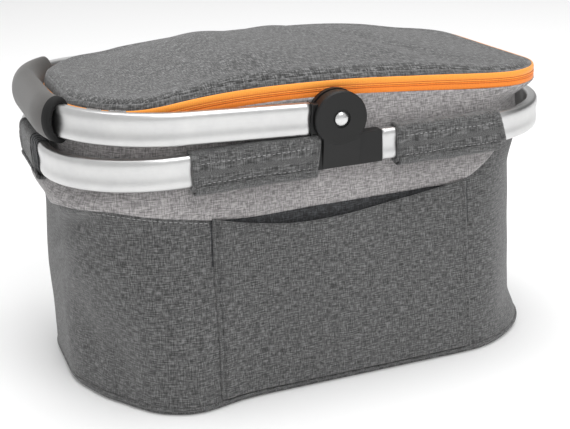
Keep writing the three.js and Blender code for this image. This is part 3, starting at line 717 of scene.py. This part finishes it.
def grip_section(outward, inward, half_height):
    angle = np.linspace(0, 2 * np.pi, GRIP_SIDES, endpoint=False)
    across = np.where(np.cos(angle) > 0, outward, inward) * MM * np.cos(angle)
    return np.stack([across, half_height * MM * np.sin(angle)], axis=-1)


def make_grip():
    """Foam tube, flattened where it lies against the bag, open and round-edged at both ends."""
    arc = math.pi * HANDLE_TRACK.r / 2
    straight = HANDLE_TRACK.b - HANDLE_TRACK.r
    start = HANDLE_TRACK.left(straight) - arc * 45 / 90
    end = HANDLE_TRACK.left(-straight) + arc * 22.5 / 90
    centres, outs, ups = track_path(HANDLE_TRACK, start, end, 2 * MM)
    outer, hole = grip_section(*GRIP_OUTLINE), grip_section(*GRIP_HOLE)
    far = len(centres) - 1
    depth = 8

    def ring(k, share=0.0):
        offset = hole + (outer - hole) * share
        return centres[k] + offset[:, :1] * outs[k] + offset[:, 1:] * ups[k]

    def rounded(k, neighbour, along, share):
        inward = centres[neighbour] - centres[k]
        return ring(k, share) + inward / np.linalg.norm(inward) * (along * 1.6 * MM)

    # Out of the hole at one end, over the outside, and back through the hole.
    rings = [ring(k) for k in range(depth, -1, -1)]
    rings += [rounded(0, 1, *step) for step in GRIP_ROUNDING]
    first = len(rings)
    rings += [ring(k, 1.0) for k in range(2, far - 1)]
    outside = range(first - 1, len(rings) - 1)
    rings += [rounded(far, far - 1, *step) for step in GRIP_ROUNDING[::-1]]
    rings += [ring(k) for k in range(far, far - depth - 1, -1)]
    rings += [ring(k) for k in range(far - depth - 4, depth + 3, -4)]
    size = len(rings) * GRIP_SIDES
    faces = [tuple(q % size for q in quad) for quad in grid_faces(len(rings) + 1, GRIP_SIDES, wrap=True)]
    grip = make_object("foam_grip", np.array(rings).reshape(-1, 3), faces, np.zeros((size, 2)))
    turn_faces_out(grip)
    grip.data.transform(TILT)
    dress(grip, FOAM, "handle", "foam_grip", "handle_grip")
    grip.data.materials.append(CUT_FOAM)
    for polygon in grip.data.polygons:
        if any(v // GRIP_SIDES not in outside for v in polygon.vertices):
            polygon.material_index = 1


# ---- stitching ----

STITCH_PITCH = 3.4 * MM
STITCH_LENGTH = 2.3 * MM
STITCH_RADIUS = 0.32 * MM
STITCH_SIDES = 6
# A stitch's outline, as (share of its length, share of its radius).
STITCH_PROFILE = [(0.0, 0.25), (0.25, 0.9), (0.75, 0.9), (1.0, 0.25)]


def stitch_row(name, line, outs, material):
    """A row of short sunk stitches along a line, each a small rounded bead."""
    along = distances(line)

    def at(distance, values):
        return np.array([np.interp(distance, along, values[:, k]) for k in range(3)])

    points, faces = [], []
    for start in np.arange(STITCH_PITCH / 2, along[-1] - STITCH_LENGTH, STITCH_PITCH):
        base = len(points)
        middle = start + STITCH_LENGTH / 2
        out = at(middle, outs)
        out /= np.linalg.norm(out)
        direction = at(start + STITCH_LENGTH, line) - at(start, line)
        direction /= max(np.linalg.norm(direction), 1e-9)
        side = np.cross(direction, out)
        for share, fullness in STITCH_PROFILE:
            centre = at(middle, line) + direction * (share - 0.5) * STITCH_LENGTH
            centre = centre + out * (fullness - 0.55) * STITCH_RADIUS
            for k in range(STITCH_SIDES):
                turn = 2 * math.pi * k / STITCH_SIDES
                offset = math.cos(turn) * side + math.sin(turn) * out
                points.append(centre + offset * STITCH_RADIUS * fullness)
        faces += grid_faces(len(STITCH_PROFILE), STITCH_SIDES, wrap=True, offset=base)
        faces.append(tuple(range(base, base + STITCH_SIDES))[::-1])
        faces.append(tuple(range(len(points) - STITCH_SIDES, len(points))))
    stitches = make_object(name, points, faces, np.zeros((len(points), 2)))
    dress(stitches, material, "basket", "dark_cloth", soft="loop" not in name)


# ---- bag body ----

WALL_PLACES = np.linspace(0, BAG_TRACK.length, 520, endpoint=False)
WALL_THICKNESS = 2.4 * MM
WALL_FOOT = 3.2 * MM
SEAM_OVERLAP = 1.5 * MM
FLOOR_THICKNESS = 1.8 * MM
LINING_FLOOR = 8 * MM
POCKET_FOOT = 6.2 * MM
POCKET_THICKNESS = 1.3 * MM
SLING_THICKNESS = 1.1 * MM
LID_THICKNESS = 2.6 * MM
HINGE_CLOTH_THICKNESS = 1.2 * MM
# The floor's turned-up edge, as (inset, height), from the top inwards.
FLOOR_EDGE = ((0.9, 4.4), (0.3, 3.2), (0.25, 1.6), (0.9, 0.4), (2.4, 0.0), (30, 0.0), (62, 0.0))


def wall_piece(name, bottom, top, rows, lift=0.0):
    """Part of the wall between two height curves, as a closed shell of cloth."""
    heights = bottom + (top - bottom) * np.linspace(0, 1, rows)[:, None]
    grid_s = np.broadcast_to(WALL_PLACES, heights.shape)
    outer, out = wall_surface(grid_s, heights, lift)
    return closed_shell(name, outer, outer - out * WALL_THICKNESS, np.stack([grid_s, heights], axis=-1))


def zip_edge(s):
    """Height of the zip's middle at each distance round the wall."""
    x, y, _, _ = BAG_TRACK.at(s)
    return zip_height(x, y)


def make_walls():
    seam = band_edge(WALL_PLACES)
    top = zip_edge(WALL_PLACES) - ZIP_HALF_HEIGHT + 0.6 * MM
    lower = wall_piece("lower_wall", np.full(seam.shape, WALL_FOOT), seam + SEAM_OVERLAP, 66)
    dress(lower, DARK_CLOTH, "basket", "dark_cloth", "bag_lower_shell", soft=True)
    paint_shade_behind_pocket(lower)
    band = wall_piece("upper_band", seam, top, 40, lift=0.8 * MM)
    dress(band, LIGHT_CLOTH, "basket", "light_cloth", "bag_upper_band", soft=True)

    # One row of stitches just below the band, between the left end and the pocket.
    stitch_s = np.linspace(BAG_TRACK.front(-168 * MM), BAG_TRACK.front(-93 * MM), 90)
    line, out = wall_surface(stitch_s, band_edge(stitch_s) - 2.4 * MM, 0.1 * MM)
    stitch_row("band_edge_stitches", line, out, GREY_THREAD)


def paint_shade_behind_pocket(wall):
    """Painted shade: plain darker cloth on the part of the wall that the pocket's lip leaves open, standing
    for the shadow behind the lip.
    """
    wall.data.materials.append(PAINTED_SHADE_CLOTH)
    # Faces behind the pocket's lip take the painted-shade cloth.
    for polygon in wall.data.polygons:
        x, y, z = polygon.center
        if y < -BAG_TRACK.b * 0.9 and POCKET_LEFT + 2 * MM < x < POCKET_RIGHT - 2 * MM and z > 0.1:
            polygon.material_index = 1


def make_base():
    """Cloth floor with a turned-up edge, and the piped seam above it."""
    index, share = BAG_TRACK.pieces(WALL_PLACES)
    rings = []
    for inset, height in np.array(FLOOR_EDGE) * MM:
        a, b = BAG_PROFILE[0, 1:] - inset
        x, y, nx, ny = place(index, share, a, b, max(BAG_RADIUS - inset, 8 * MM))
        bulge = foot_bulge(x, y) * (1 - ramp(inset, 2.4 * MM, 30 * MM))
        rings.append(xyz(x + nx * bulge, y + ny * bulge, height))
    outer = np.array(rings)
    inner = outer.copy()
    inner[:, :, 2] = np.maximum(outer[:, :, 2], FLOOR_THICKNESS)
    inner[:, :, :2] *= 1 - 2.0 * MM / BAG_PROFILE[0, 1]
    base = closed_shell("base_cloth", outer, inner, from_above, joined=(0,), capped=(-1,))
    dress(base, DARK_CLOTH, "basket", "dark_cloth", "base_panel", soft=True)

    grow = 0.2 * MM
    seam_track = Track(BAG_TRACK.a + grow, BAG_TRACK.b + grow, BAG_TRACK.r + grow)
    centres, outs, ups = track_path(seam_track, 0, BAG_TRACK.length * 0.99999, 4 * MM)
    centres += outs * foot_bulge(centres[:, 0], centres[:, 1])[:, None]
    centres[:, 2] += 4.0 * MM
    angle = np.linspace(0, 2 * np.pi, 12, endpoint=False)
    section = np.stack([np.cos(angle) * 1.15 * MM, np.sin(angle) * 1.3 * MM], axis=-1)
    piping = sweep("bottom_seam_piping", section, centres, outs, ups)
    dress(piping, DARK_CLOTH, "basket", "dark_cloth", "bottom_piping", soft=True)


def make_floor_board():
    """Stiff board on the bag's floor, with eased edges."""
    low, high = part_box("base_board")
    index, share = BAG_TRACK.pieces(WALL_PLACES[::4])
    ease = 0.4 * MM
    rings = []
    for inset, height in ((ease, low.z), (0.0, low.z + ease), (0.0, high.z - ease), (ease, high.z)):
        a, b = high.x - inset, high.y - inset
        x, y, nx, ny = place(index, share, a, b, BAG_RADIUS - (BAG_PROFILE[0, 1] - a))
        drawn_in = np.minimum(wall_folds(xyz(x, y, height)), 0)
        rings.append(xyz(x + nx * drawn_in, y + ny * drawn_in, height))
    rings = np.array(rings)
    board = capped_tube("floor_board", rings, rings[..., :2])
    dress(board, BOARD_PLASTIC, "basket", "stiff_board", "base_board", soft=True)


def make_lining():
    """Inner cup of lining cloth, slightly loose."""
    s = np.linspace(0, BAG_TRACK.length, 260, endpoint=False)
    index, share = BAG_TRACK.pieces(s)
    top = zip_edge(s) - ZIP_HALF_HEIGHT - 0.6 * MM
    rows = []
    for level in np.concatenate([[0.0, 0.01], np.linspace(0.06, 1.0, 26)]):
        height = LINING_FLOOR + (top - LINING_FLOOR) * level
        a, b = wall_size(height)
        inset = (4.2 + 1.2 * (1 - ramp(level, 0.0, 0.06))) * MM
        x, y, nx, ny = place(index, share, a - inset, b - inset, BAG_RADIUS - inset)
        points = xyz(x, y, height)
        looseness = 1.6 * MM * smooth_noise(points * np.array([1, 1, 0.5]), 0.05, 5) - 0.8 * MM
        drawn_in = np.minimum(looseness, 0) + np.minimum(wall_folds(points), 0)
        rows.append(points + xyz(nx, ny, 0.0) * drawn_in[:, None])
    outer = np.array(rows)
    inner = outer * np.array([0.9925, 0.987, 1.0])
    inner[0, :, 2] += 0.8 * MM
    # The floor closes in on its middle.
    outer, inner = (
        np.concatenate([[side[0] * np.array([k, k, 1.0]) for k in (0.02, 0.35, 0.7)], side])
        for side in (outer, inner)
    )

    def places(points):
        return np.stack([points[:, 0] + points[:, 1], points[:, 2]], axis=-1)

    cup = closed_shell("inner_lining", outer, inner, places, joined=(-1,), capped=(0,))
    dress(cup, LINING, "basket", "lining_cloth", "bag_lining", soft=True)


def make_pocket():
    """Patch pocket on the front wall: sewn at the sides, open and slack along its lip."""
    s = np.linspace(BAG_TRACK.front(POCKET_LEFT), BAG_TRACK.front(POCKET_RIGHT), 160)
    x = s - BAG_TRACK.length / 2
    lip = curve(x, POCKET_LIP)
    shares = np.linspace(0, 1, 64)[:, None]
    heights = POCKET_FOOT + (lip - POCKET_FOOT) * shares
    grid_s = np.broadcast_to(s, heights.shape)
    across = (x - POCKET_LEFT) / (POCKET_RIGHT - POCKET_LEFT)
    belly = np.clip(np.sin(np.pi * across), 0, 1) ** 0.45
    slack = belly * (0.25 + 0.75 * ramp(shares, 0.35, 1.0))
    lift = 1.3 * MM + 3.8 * MM * slack
    edge = np.minimum(across, 1 - across) * (POCKET_RIGHT - POCKET_LEFT)
    seam_dip = 0.9 * MM * bump(edge, 2.2 * MM, 1.0 * MM)
    hem = 0.42 * MM * ramp(heights, lip - 8 * MM, lip - 7 * MM)
    hem_dip = 0.5 * MM * bump(heights - lip, -7.5 * MM, 0.7 * MM)
    outer, out = wall_surface(grid_s, heights)
    slack_folds = 0.9 * MM * smooth_noise(outer * np.array([1.0, 1.0, 0.25]), 0.028, 31) * slack
    outer = outer + out * np.expand_dims(lift - seam_dip + hem - hem_dip + slack_folds, -1)
    uv = np.stack([grid_s, heights], axis=-1)
    pocket = closed_shell("pocket_panel", outer, outer - out * POCKET_THICKNESS, uv, wrap=False)
    dress(pocket, DARK_CLOTH, "basket", "dark_cloth", "front_pocket", soft=True)
    hem_rows = np.argmin(np.abs(heights - (lip - 6.6 * MM)), axis=0)
    hem_line = outer[hem_rows, np.arange(len(x))]
    stitch_row("pocket_lip_stitches", hem_line + out[-1] * 0.05 * MM, out[-1], DARK_THREAD)
    for side, column in (("left", 3), ("right", len(x) - 4)):
        normals = out[:, column]
        stitch_row(f"pocket_{side}_stitches", outer[:, column] + normals * 0.1 * MM, normals, DARK_THREAD)


# ---- loops round the rim ----

LOOP_STITCH_HEIGHTS = (0.5, -0.78)


def make_loop(name, start, end, seed, taper=(0.0, 0.0), sag=(0.0, 0.0)):
    """A cloth sleeve wrapped round the rim, with hemmed ends and two rows of stitching.

    taper slants its two ends and sag lets its lower outer edge hang at each end.
    """
    outer_section = bar_section(grow=1.6 * MM, groove=0.2 * MM, count=56)
    inner_section = bar_section(grow=0.35 * MM, groove=0.1 * MM, count=56)
    step = 1.5 * MM
    centres, outs, ups = rim_path(start, end, step)
    length = len(centres)
    up_share = outer_section[:, 1] / (BAR_HEIGHT / 2)
    tangent = np.gradient(centres, axis=0)
    tangent /= np.linalg.norm(tangent, axis=1)[:, None]
    t = np.linspace(0, 1, length)[:, None]
    slant = (taper[0] * (1 - t) ** 4 + taper[1] * t**4) * MM * -up_share
    slanted = slant[:, :, None] * tangent[:, None, :]
    grid = carried(outer_section, centres, outs, ups) + slanted
    radial = carried(outer_section, np.zeros(centres.shape), outs, ups)
    radial /= np.linalg.norm(radial, axis=-1)[..., None]
    puff = 0.75 * smooth_noise(grid * np.array([1.0, 1.0, 1.6]), 0.020, seed)
    puff += 0.45 * smooth_noise(grid, 0.009, seed + 3)
    edge = np.minimum(t, 1 - t) * (length - 1) * step
    hem = 0.55 * (1 - ramp(edge, 3.0 * MM, 4.5 * MM)) - 0.35 * bump(edge, 4.6 * MM, 0.8 * MM)
    outside = outer_section[:, 0] > 0
    sunk = -0.5 * sum(bump(up_share, height, 0.05) for height in LOOP_STITCH_HEIGHTS) * outside
    slump = 0.9 * np.clip(-up_share, 0, 1) ** 2
    hang = (sag[0] * (1 - t) ** 2 + sag[1] * t**2) * MM * np.clip(-up_share, 0, 1) ** 3
    outer = grid + radial * ((puff + hem + sunk + slump) * MM)[..., None]
    inner = carried(inner_section, centres, outs, ups) + slanted
    for shell in (outer, inner):
        shell[..., 2] -= hang
    along = np.linspace(0, abs(end - start), length)
    uv = cloth_grid(along + seed, np.arange(len(outer_section)) * 1.1 * MM)
    sleeve = closed_shell(f"{name}_sleeve", outer, inner, uv)
    dress(sleeve, DARK_CLOTH, "basket", "dark_cloth", name)
    for row, height in enumerate(LOOP_STITCH_HEIGHTS, 1):
        column = int(np.argmin(np.where(outside, np.abs(up_share - height), 9.0)))
        stitch_row(f"{name}_stitches_{row}", outer[3:-3, column], outs[3:-3], GREY_THREAD)
    make_sling(name, centres[1:-1], outs[1:-1], ups[1:-1], step, seed)


def make_sling(name, centres, outs, ups, step, seed):
    """The flap that carries the loop: from the band's seam, under the rim, to the sleeve."""
    # Outward, and upward from the bar's lower edge.
    line = np.array([
        [-7.2, 2], [-6.6, -2.4], [-3.0, -4.6], [1.6, -4.9], [4.6, -3.6], [5.6, -1.6], [5.8, 0.6],
    ]) * MM - np.array([0, BAR_HEIGHT / 2])
    slope = np.gradient(line, axis=0)
    normal = np.stack([slope[:, 1], -slope[:, 0]], axis=-1)
    normal /= np.linalg.norm(normal, axis=1)[:, None]
    shells = [carried(line + normal * depth, centres, outs, ups) for depth in (0.0, SLING_THICKNESS)]
    wobble = 0.7 * MM * smooth_noise(shells[0], 0.018, seed + 9)
    for shell in shells:
        shell[..., 2] += wobble
    along = np.arange(len(centres)) * step
    uv = cloth_grid(along, np.arange(len(line)) * 3.4 * MM)
    sling = closed_shell(f"{name}_sling", *shells, uv, wrap=False)
    dress(sling, DARK_CLOTH, "basket", "dark_cloth")


def make_gathered_end():
    """Cut end of the left loop: a few layers folded one over another round the rim, darkened with painted
    shade.
    """
    step = 0.9 * MM
    for layer in range(4):
        near, far = (RIM_TRACK.left((y - 3.2 * layer) * MM) for y in (-15.0, -20.5))
        path = rim_path(near, far, step)
        section = bar_section(grow=(1.6 - 0.34 * layer) * MM, groove=0.2 * MM, count=48)
        inside = bar_section(grow=0.15 * MM, groove=1.2 * MM, count=48)
        shells = [carried(outline, *path) for outline in (section, inside)]
        up_share = section[:, 1] / BAR_HEIGHT
        lean = 3.2 * MM * up_share + 0.8 * MM * np.sin(5 * up_share + layer)
        for shell in shells:
            shell[..., 1] += lean
        uv = cloth_grid(np.arange(len(path[0])) * step, np.arange(len(section)) * 1.3 * MM)
        fold = closed_shell(f"left_loop_fold_{layer + 1}", *shells, uv)
        # Painted shade: the folds take the darker shadow cloth rather than the loops' own cloth.
        dress(fold, PAINTED_SHADE_CLOTH, "basket", "dark_cloth")


def make_loops():
    # Side of the rim, start and end on it, then the slant and the sag of the two ends.
    loops = {
        "rim_loop_front_left": (RIM_TRACK.front, -102, -15.5, (0.0, -1.6)),
        "rim_loop_front_right": (RIM_TRACK.front, 41, 122, (0.0, 3.2), (0.6, 0.0)),
        "rim_loop_back_right": (RIM_TRACK.back, 102, 15.5),
        "rim_loop_back_left": (RIM_TRACK.back, -41, -107),
        "rim_loop_left_end": (RIM_TRACK.left, 33, -16, (0.0, 2.4), (0.0, 5.0)),
        "rim_loop_right_end": (RIM_TRACK.right, -32, 32),
    }
    for seed, (name, (side, start, end, *shape)) in enumerate(loops.items(), 20):
        make_loop(name, side(start * MM), side(end * MM), seed, *shape)
    make_gathered_end()


# ---- zip ----

# A tape's outline with its half of the closing ridge, as (outward, up from the zip's middle).
TAPE_PROFILE = np.array([
    [0.1, 0.08], [0.5, 0.2], [0.7, 0.55], [0.55, 0.95], [0.0, 1.2],
    [0.35, 1.55], [0.6, 2.4], [0.55, 3.8], [0.2, 4.9], [-0.3, 5.5],
    [-1.2, 5.4], [-1.1, 3.0], [-1.2, 0.08],
]) * MM


def zip_outline(s, inset=0.0):
    """Points and outward directions on the zip's outline, drawn in by an inset."""
    x, y, nx, ny = ZIP_TRACK.at(s)
    reach = zip_fullness(x, y, nx, ny)
    x, y = x + nx * reach, y + ny * reach
    rises = [
        zip_outline_gap(x + dx, y + dy) - zip_outline_gap(x - dx, y - dy)
        for dx, dy in ((1 * MM, 0), (0, 1 * MM))
    ]
    outs = xyz(*rises, 0.0)
    outs /= np.linalg.norm(outs, axis=1)[:, None]
    return xyz(x, y, zip_height(x, y)) - outs * inset, outs


def zip_half(name, level, body, node):
    """One tape with its half of the closing ridge: level is 1 for the lid's half, -1 for the bag's."""
    start, end = ZIP_TRACK.back(-ZIP_BACK_END), ZIP_TRACK.back(ZIP_BACK_END)
    centres, outs = zip_outline(np.arange(start, end, 0.75 * MM))
    ups = np.tile([0.0, 0.0, 1.0], (len(centres), 1))
    section = TAPE_PROFILE * np.array([1.0, level])
    tape = sweep(name, section, centres, outs, ups, around=TAPE_PROFILE[:, 1])
    # The bag's half takes the painted-shade copy of the tape.
    dress(tape, ORANGE if level > 0 else ORANGE_PAINTED_SHADE, body, "zip_tape", node, soft=True)
    tape.data.materials.append(ORANGE_COIL)
    for polygon in tape.data.polygons:
        columns = [v % len(section) for v in polygon.vertices]
        if len(columns) == 4 and max(columns) <= 5 and min(columns) >= 3:
            polygon.material_index = 1


# ---- lid ----

SEAM_INSET = 3.4 * MM
SEAM_RISE = 3.6 * MM

# The lid's crown above its seam, as (place along X, rise): highest left of the middle.
CROWN = np.array([
    [-165, 0], [-110, 1.5], [-80, 6], [-50, 11.5], [-20, 9.5], [50, 8], [100, 4], [165, 0],
]) * MM


def seam_rise(x, y):
    """How far the lid's seam stands above the zip: least at the right, most at the back left."""
    back_left = ramp(-x, 105 * MM, 140 * MM) * ramp(y, -60 * MM, 20 * MM)
    return SEAM_RISE * (1 - 0.92 * ramp(x, 60 * MM, 150 * MM)) + 4.0 * MM * back_left


def lid_surface(x, y, seam_z):
    """Height of the lid at a place: a rolled edge at its seam, then an uneven crown."""
    inward = np.clip(-zip_outline_gap(x, y) - SEAM_INSET, 0, None)
    shoulder = 1 - (1 - np.clip(inward / (72 * MM), 0, 1)) ** 2
    roll = 1.2 * MM * ramp(inward, 0, 4.5 * MM) + 1.2 * MM * bump(inward, 7 * MM, 6 * MM)
    crown = curve(x, CROWN) * shoulder
    points = np.stack([x, y, np.zeros(np.shape(x))], axis=-1)
    soft = 1.2 * smooth_noise(points * np.array([0.7, 1.0, 0.0]), 0.08, 8)
    soft += 0.5 * smooth_noise(points, 0.03, 9)
    # One ridge runs slanting across the middle, with a valley behind it and a low hump beyond.
    ridge_line = (x - 15 * MM) + (y - 55 * MM) * 50 / 120
    ridge = 1.8 * bump(ridge_line, 0, 15 * MM) - 2.8 * bump(ridge_line, 30 * MM, 15 * MM)
    hump = 1.4 * bump(x, 96 * MM, 32 * MM) * bump(y, 30 * MM, 40 * MM)
    folds = (soft + ridge + hump) * MM * ramp(inward, 3 * MM, 38 * MM)
    return seam_z + roll + crown + folds


def make_lid():
    s = np.linspace(0, ZIP_TRACK.length, 480, endpoint=False)
    seam, _ = zip_outline(s, SEAM_INSET)
    seam_z = seam[:, 2] + ZIP_HALF_HEIGHT + seam_rise(seam[:, 0], seam[:, 1])
    spine_x, spine_y, _, _ = place(*ZIP_TRACK.pieces(s), ZIP_TRACK.a - ZIP_TRACK.b, 0.0, 0.0)
    middle_z = curve(spine_x, ZIP_FRONT) + ZIP_HALF_HEIGHT + seam_rise(spine_x, spine_y)
    rows = []
    for f in np.concatenate([np.linspace(0, 0.13, 12), np.linspace(0.16, 1.0, 34)]):
        x = seam[:, 0] + (spine_x - seam[:, 0]) * f
        y = seam[:, 1] + (spine_y - seam[:, 1]) * f
        rows.append(xyz(x, y, lid_surface(x, y, seam_z + (middle_z - seam_z) * f)))
    outer = np.array(rows)
    outer[0, :, 2] -= 1.0 * MM
    inner = outer * np.array([0.985, 0.975, 1.0])
    inner[:, :, 2] -= LID_THICKNESS
    lid = closed_shell("lid_cloth", outer, inner, from_above, joined=(0,), weld=True)
    dress(lid, LID_CLOTH, "lid", "dark_cloth", "lid_top", soft=True)
    make_lid_border(s)


def make_lid_border(s):
    """Narrow strip between the zip and the lid's seam, with a rolled top edge."""
    steps = [(0.4, -0.9), (0.3, 0.2), (0.9, 1.4), (1.4, 2.6), (2.3, 3.6), (3.4, 3.9), (4.4, 3.2)]
    outer, inner = [], []
    for inset, rise in steps:
        for rows, extra in ((outer, 0.0), (inner, 1.3)):
            points, _ = zip_outline(s, (inset + extra) * MM)
            # Drawn in at the middle of the back, clear of the bracket when the lid opens.
            points[:, 1] -= 1.4 * MM * ramp(points[:, 1], 70 * MM, 95 * MM) * bump(points[:, 0], 0, 40 * MM)
            high = max(rise, 0.3) / 3.9 * (SEAM_RISE - seam_rise(points[:, 0], points[:, 1]))
            points[:, 2] += ZIP_HALF_HEIGHT + (rise - extra * 0.6) * MM - high
            rows.append(points)
    outer, inner = np.array(outer), np.array(inner)
    outer[:, :, 2] += 0.25 * MM * smooth_noise(outer, 0.02, 11)
    uv = cloth_grid(np.array([rise for _, rise in steps]) * MM, s)[..., ::-1]
    border = closed_shell("lid_edge_strip", outer, inner, uv)
    dress(border, DARK_CLOTH, "lid", "dark_cloth", "lid_border", soft=True)


def make_hinge_cloth():
    """Cloth that joins bag and lid behind the zip's two ends."""
    half_width = ZIP_BACK_END + 2 * MM
    heights = np.linspace(HINGE_ZIP_Z - ZIP_HALF_HEIGHT - 2 * MM, HINGE.z + 1.5 * MM, 18)
    grid_x, grid_z = np.meshgrid(np.linspace(-half_width, half_width, 60), heights)
    outer = xyz(grid_x, ZIP_TRACK.b - 0.3 * MM, grid_z)
    outer[..., 1] += 0.3 * MM * smooth_noise(outer, 0.02, 12)
    inner = outer - np.array([0, HINGE_CLOTH_THICKNESS, 0])
    cloth = closed_shell("hinge_cloth", outer, inner, np.stack([grid_x, grid_z], axis=-1), wrap=False)
    cloth.data.materials.append(DARK_CLOTH)
    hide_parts("hinge_cloth_lower")
    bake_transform(cloth)


# ---- CAD nodes that keep their shape ----

def soften_node(name, material, bevel, segments=2):
    node = frame["nodes"][name]
    node.data.materials.clear()
    node.data.materials.append(material)
    weld = node.modifiers.new("weld", "WELD")
    weld.merge_threshold = 0.01 * MM
    edges = node.modifiers.new("bevel", "BEVEL")
    edges.width = bevel * MM
    edges.segments = segments
    edges.limit_method = "ANGLE"
    edges.angle_limit = math.radians(40)
    edges.harden_normals = False
    normals = node.modifiers.new("normals", "WEIGHTED_NORMAL")
    normals.keep_sharp = True
    node.data.polygons.foreach_set("use_smooth", [True] * len(node.data.polygons))


def dress_nodes():
    for side in ("front", "back"):
        soften_node(f"pivot_bracket_{side}", BLACK_PLASTIC, 0.6, 3)
        soften_node(f"handle_hub_{side}", BLACK_PLASTIC, 0.4)
        soften_node(f"pivot_washer_{side}", BLACK_PLASTIC, 0.1)
        soften_node(f"pivot_rivet_{side}", STEEL, 0.2)
    soften_node("adapter_plate", BLACK_PLASTIC, 0.7, 3)
    soften_node("adapter_backing_plate", BOARD_PLASTIC, 0.4)
    for number in range(1, 5):
        soften_node(f"adapter_screw_{number}", STEEL, 0.2)
        soften_node(f"adapter_nut_{number}", STEEL, 0.2)
    for letter in ("a", "b"):
        soften_node(f"zip_slider_{letter}", STEEL, 0.25)
        soften_node(f"zip_pull_{letter}", STEEL, 0.2)


# ---- stage, light and camera ----

CAMERA_AZIMUTH = math.radians(-20.36)
CAMERA_ELEVATION = math.radians(19.24)
CAMERA_ROLL = math.radians(-2.13)
CAMERA_DISTANCE = 0.88234
CAMERA_TARGET = Vector((0.00014, 0.0, 0.0914))
CAMERA_LENS = 72.94


def make_camera():
    a, e, roll = CAMERA_AZIMUTH, CAMERA_ELEVATION, CAMERA_ROLL
    back = Vector((math.sin(a) * math.cos(e), -math.cos(a) * math.cos(e), math.sin(e)))
    right = Vector((math.cos(a), math.sin(a), 0.0))
    up = back.cross(right)
    rolled_right = math.cos(roll) * right + math.sin(roll) * up
    rolled_up = -math.sin(roll) * right + math.cos(roll) * up
    data = bpy.data.cameras.new("camera")
    data.lens = CAMERA_LENS
    data.sensor_width = 36.0
    data.clip_start = 0.01
    camera = bpy.data.objects.new("camera", data)
    camera.matrix_world = Matrix((rolled_right, rolled_up, back)).transposed().to_4x4()
    camera.location = CAMERA_TARGET + back * CAMERA_DISTANCE
    bpy.context.scene.collection.objects.link(camera)
    bpy.context.scene.camera = camera


def area_light(name, place_at, look_at, size, power):
    data = bpy.data.lights.new(name, "AREA")
    data.shape = "RECTANGLE"
    data.size, data.size_y = size
    data.energy = power
    light = bpy.data.objects.new(name, data)
    light.location = place_at
    light.rotation_euler = (Vector(look_at) - Vector(place_at)).to_track_quat("-Z", "Y").to_euler()
    bpy.context.scene.collection.objects.link(light)


def studio_world():
    """White surroundings that fall off to grey on the right-hand side."""
    world = bpy.data.worlds.new("studio")
    world.use_nodes = True
    tree = world.node_tree
    background = tree.nodes["Background"]
    background.inputs["Color"].default_value = (1.0, 1.0, 1.0, 1.0)
    direction = tree.nodes.new("ShaderNodeTexCoord").outputs["Generated"]
    parts = tree.nodes.new("ShaderNodeSeparateXYZ")
    tree.links.new(direction, parts.inputs["Vector"])
    falloff = tree.nodes.new("ShaderNodeMapRange")
    for socket, value in (("From Min", 0.3), ("From Max", 1.0), ("To Min", 0.74), ("To Max", 0.1)):
        falloff.inputs[socket].default_value = value
    tree.links.new(parts.outputs["X"], falloff.inputs["Value"])
    tree.links.new(falloff.outputs["Result"], background.inputs["Strength"])
    return world


def make_stage():
    size = 12.0
    corners = [(-size, -size, 0), (size, -size, 0), (size, size, 0), (-size, size, 0)]
    floor = make_object("floor", corners, [(0, 1, 2, 3)], smooth=False)
    paper = Nodes("pale_floor")
    tone = paper.noise(paper.position(), 0.8, 1.0)
    colour = paper.two_tone(tone, grey(0.9), grey(0.93))
    floor.data.materials.append(paper.finish(colour=colour, roughness=0.9))
    bpy.context.scene.world = studio_world()
    area_light("key", (0.45, -1.7, 2.0), (0, 0, 0.12), (1.4, 1.4), 24)
    area_light("top", (0.1, 0.1, 2.2), (0, 0, 0.1), (1.8, 1.2), 28)
    area_light("fill", (1.7, -1.6, 0.9), (0, 0, 0.12), (1.2, 1.2), 1.5)
    bpy.context.scene.view_settings.view_transform = "Standard"


# ---- building everything ----

make_camera()
make_stage()
make_rim()
make_handle_bar()
make_grip()
make_base()
make_walls()
make_floor_board()
make_lining()
make_pocket()
make_loops()
zip_half("zip_lower_half", -1, "basket", "zip_tape_lower")
zip_half("zip_upper_half", 1, "lid", "zip_tape_upper")
make_lid()
make_hinge_cloth()
dress_nodes()
give_way()
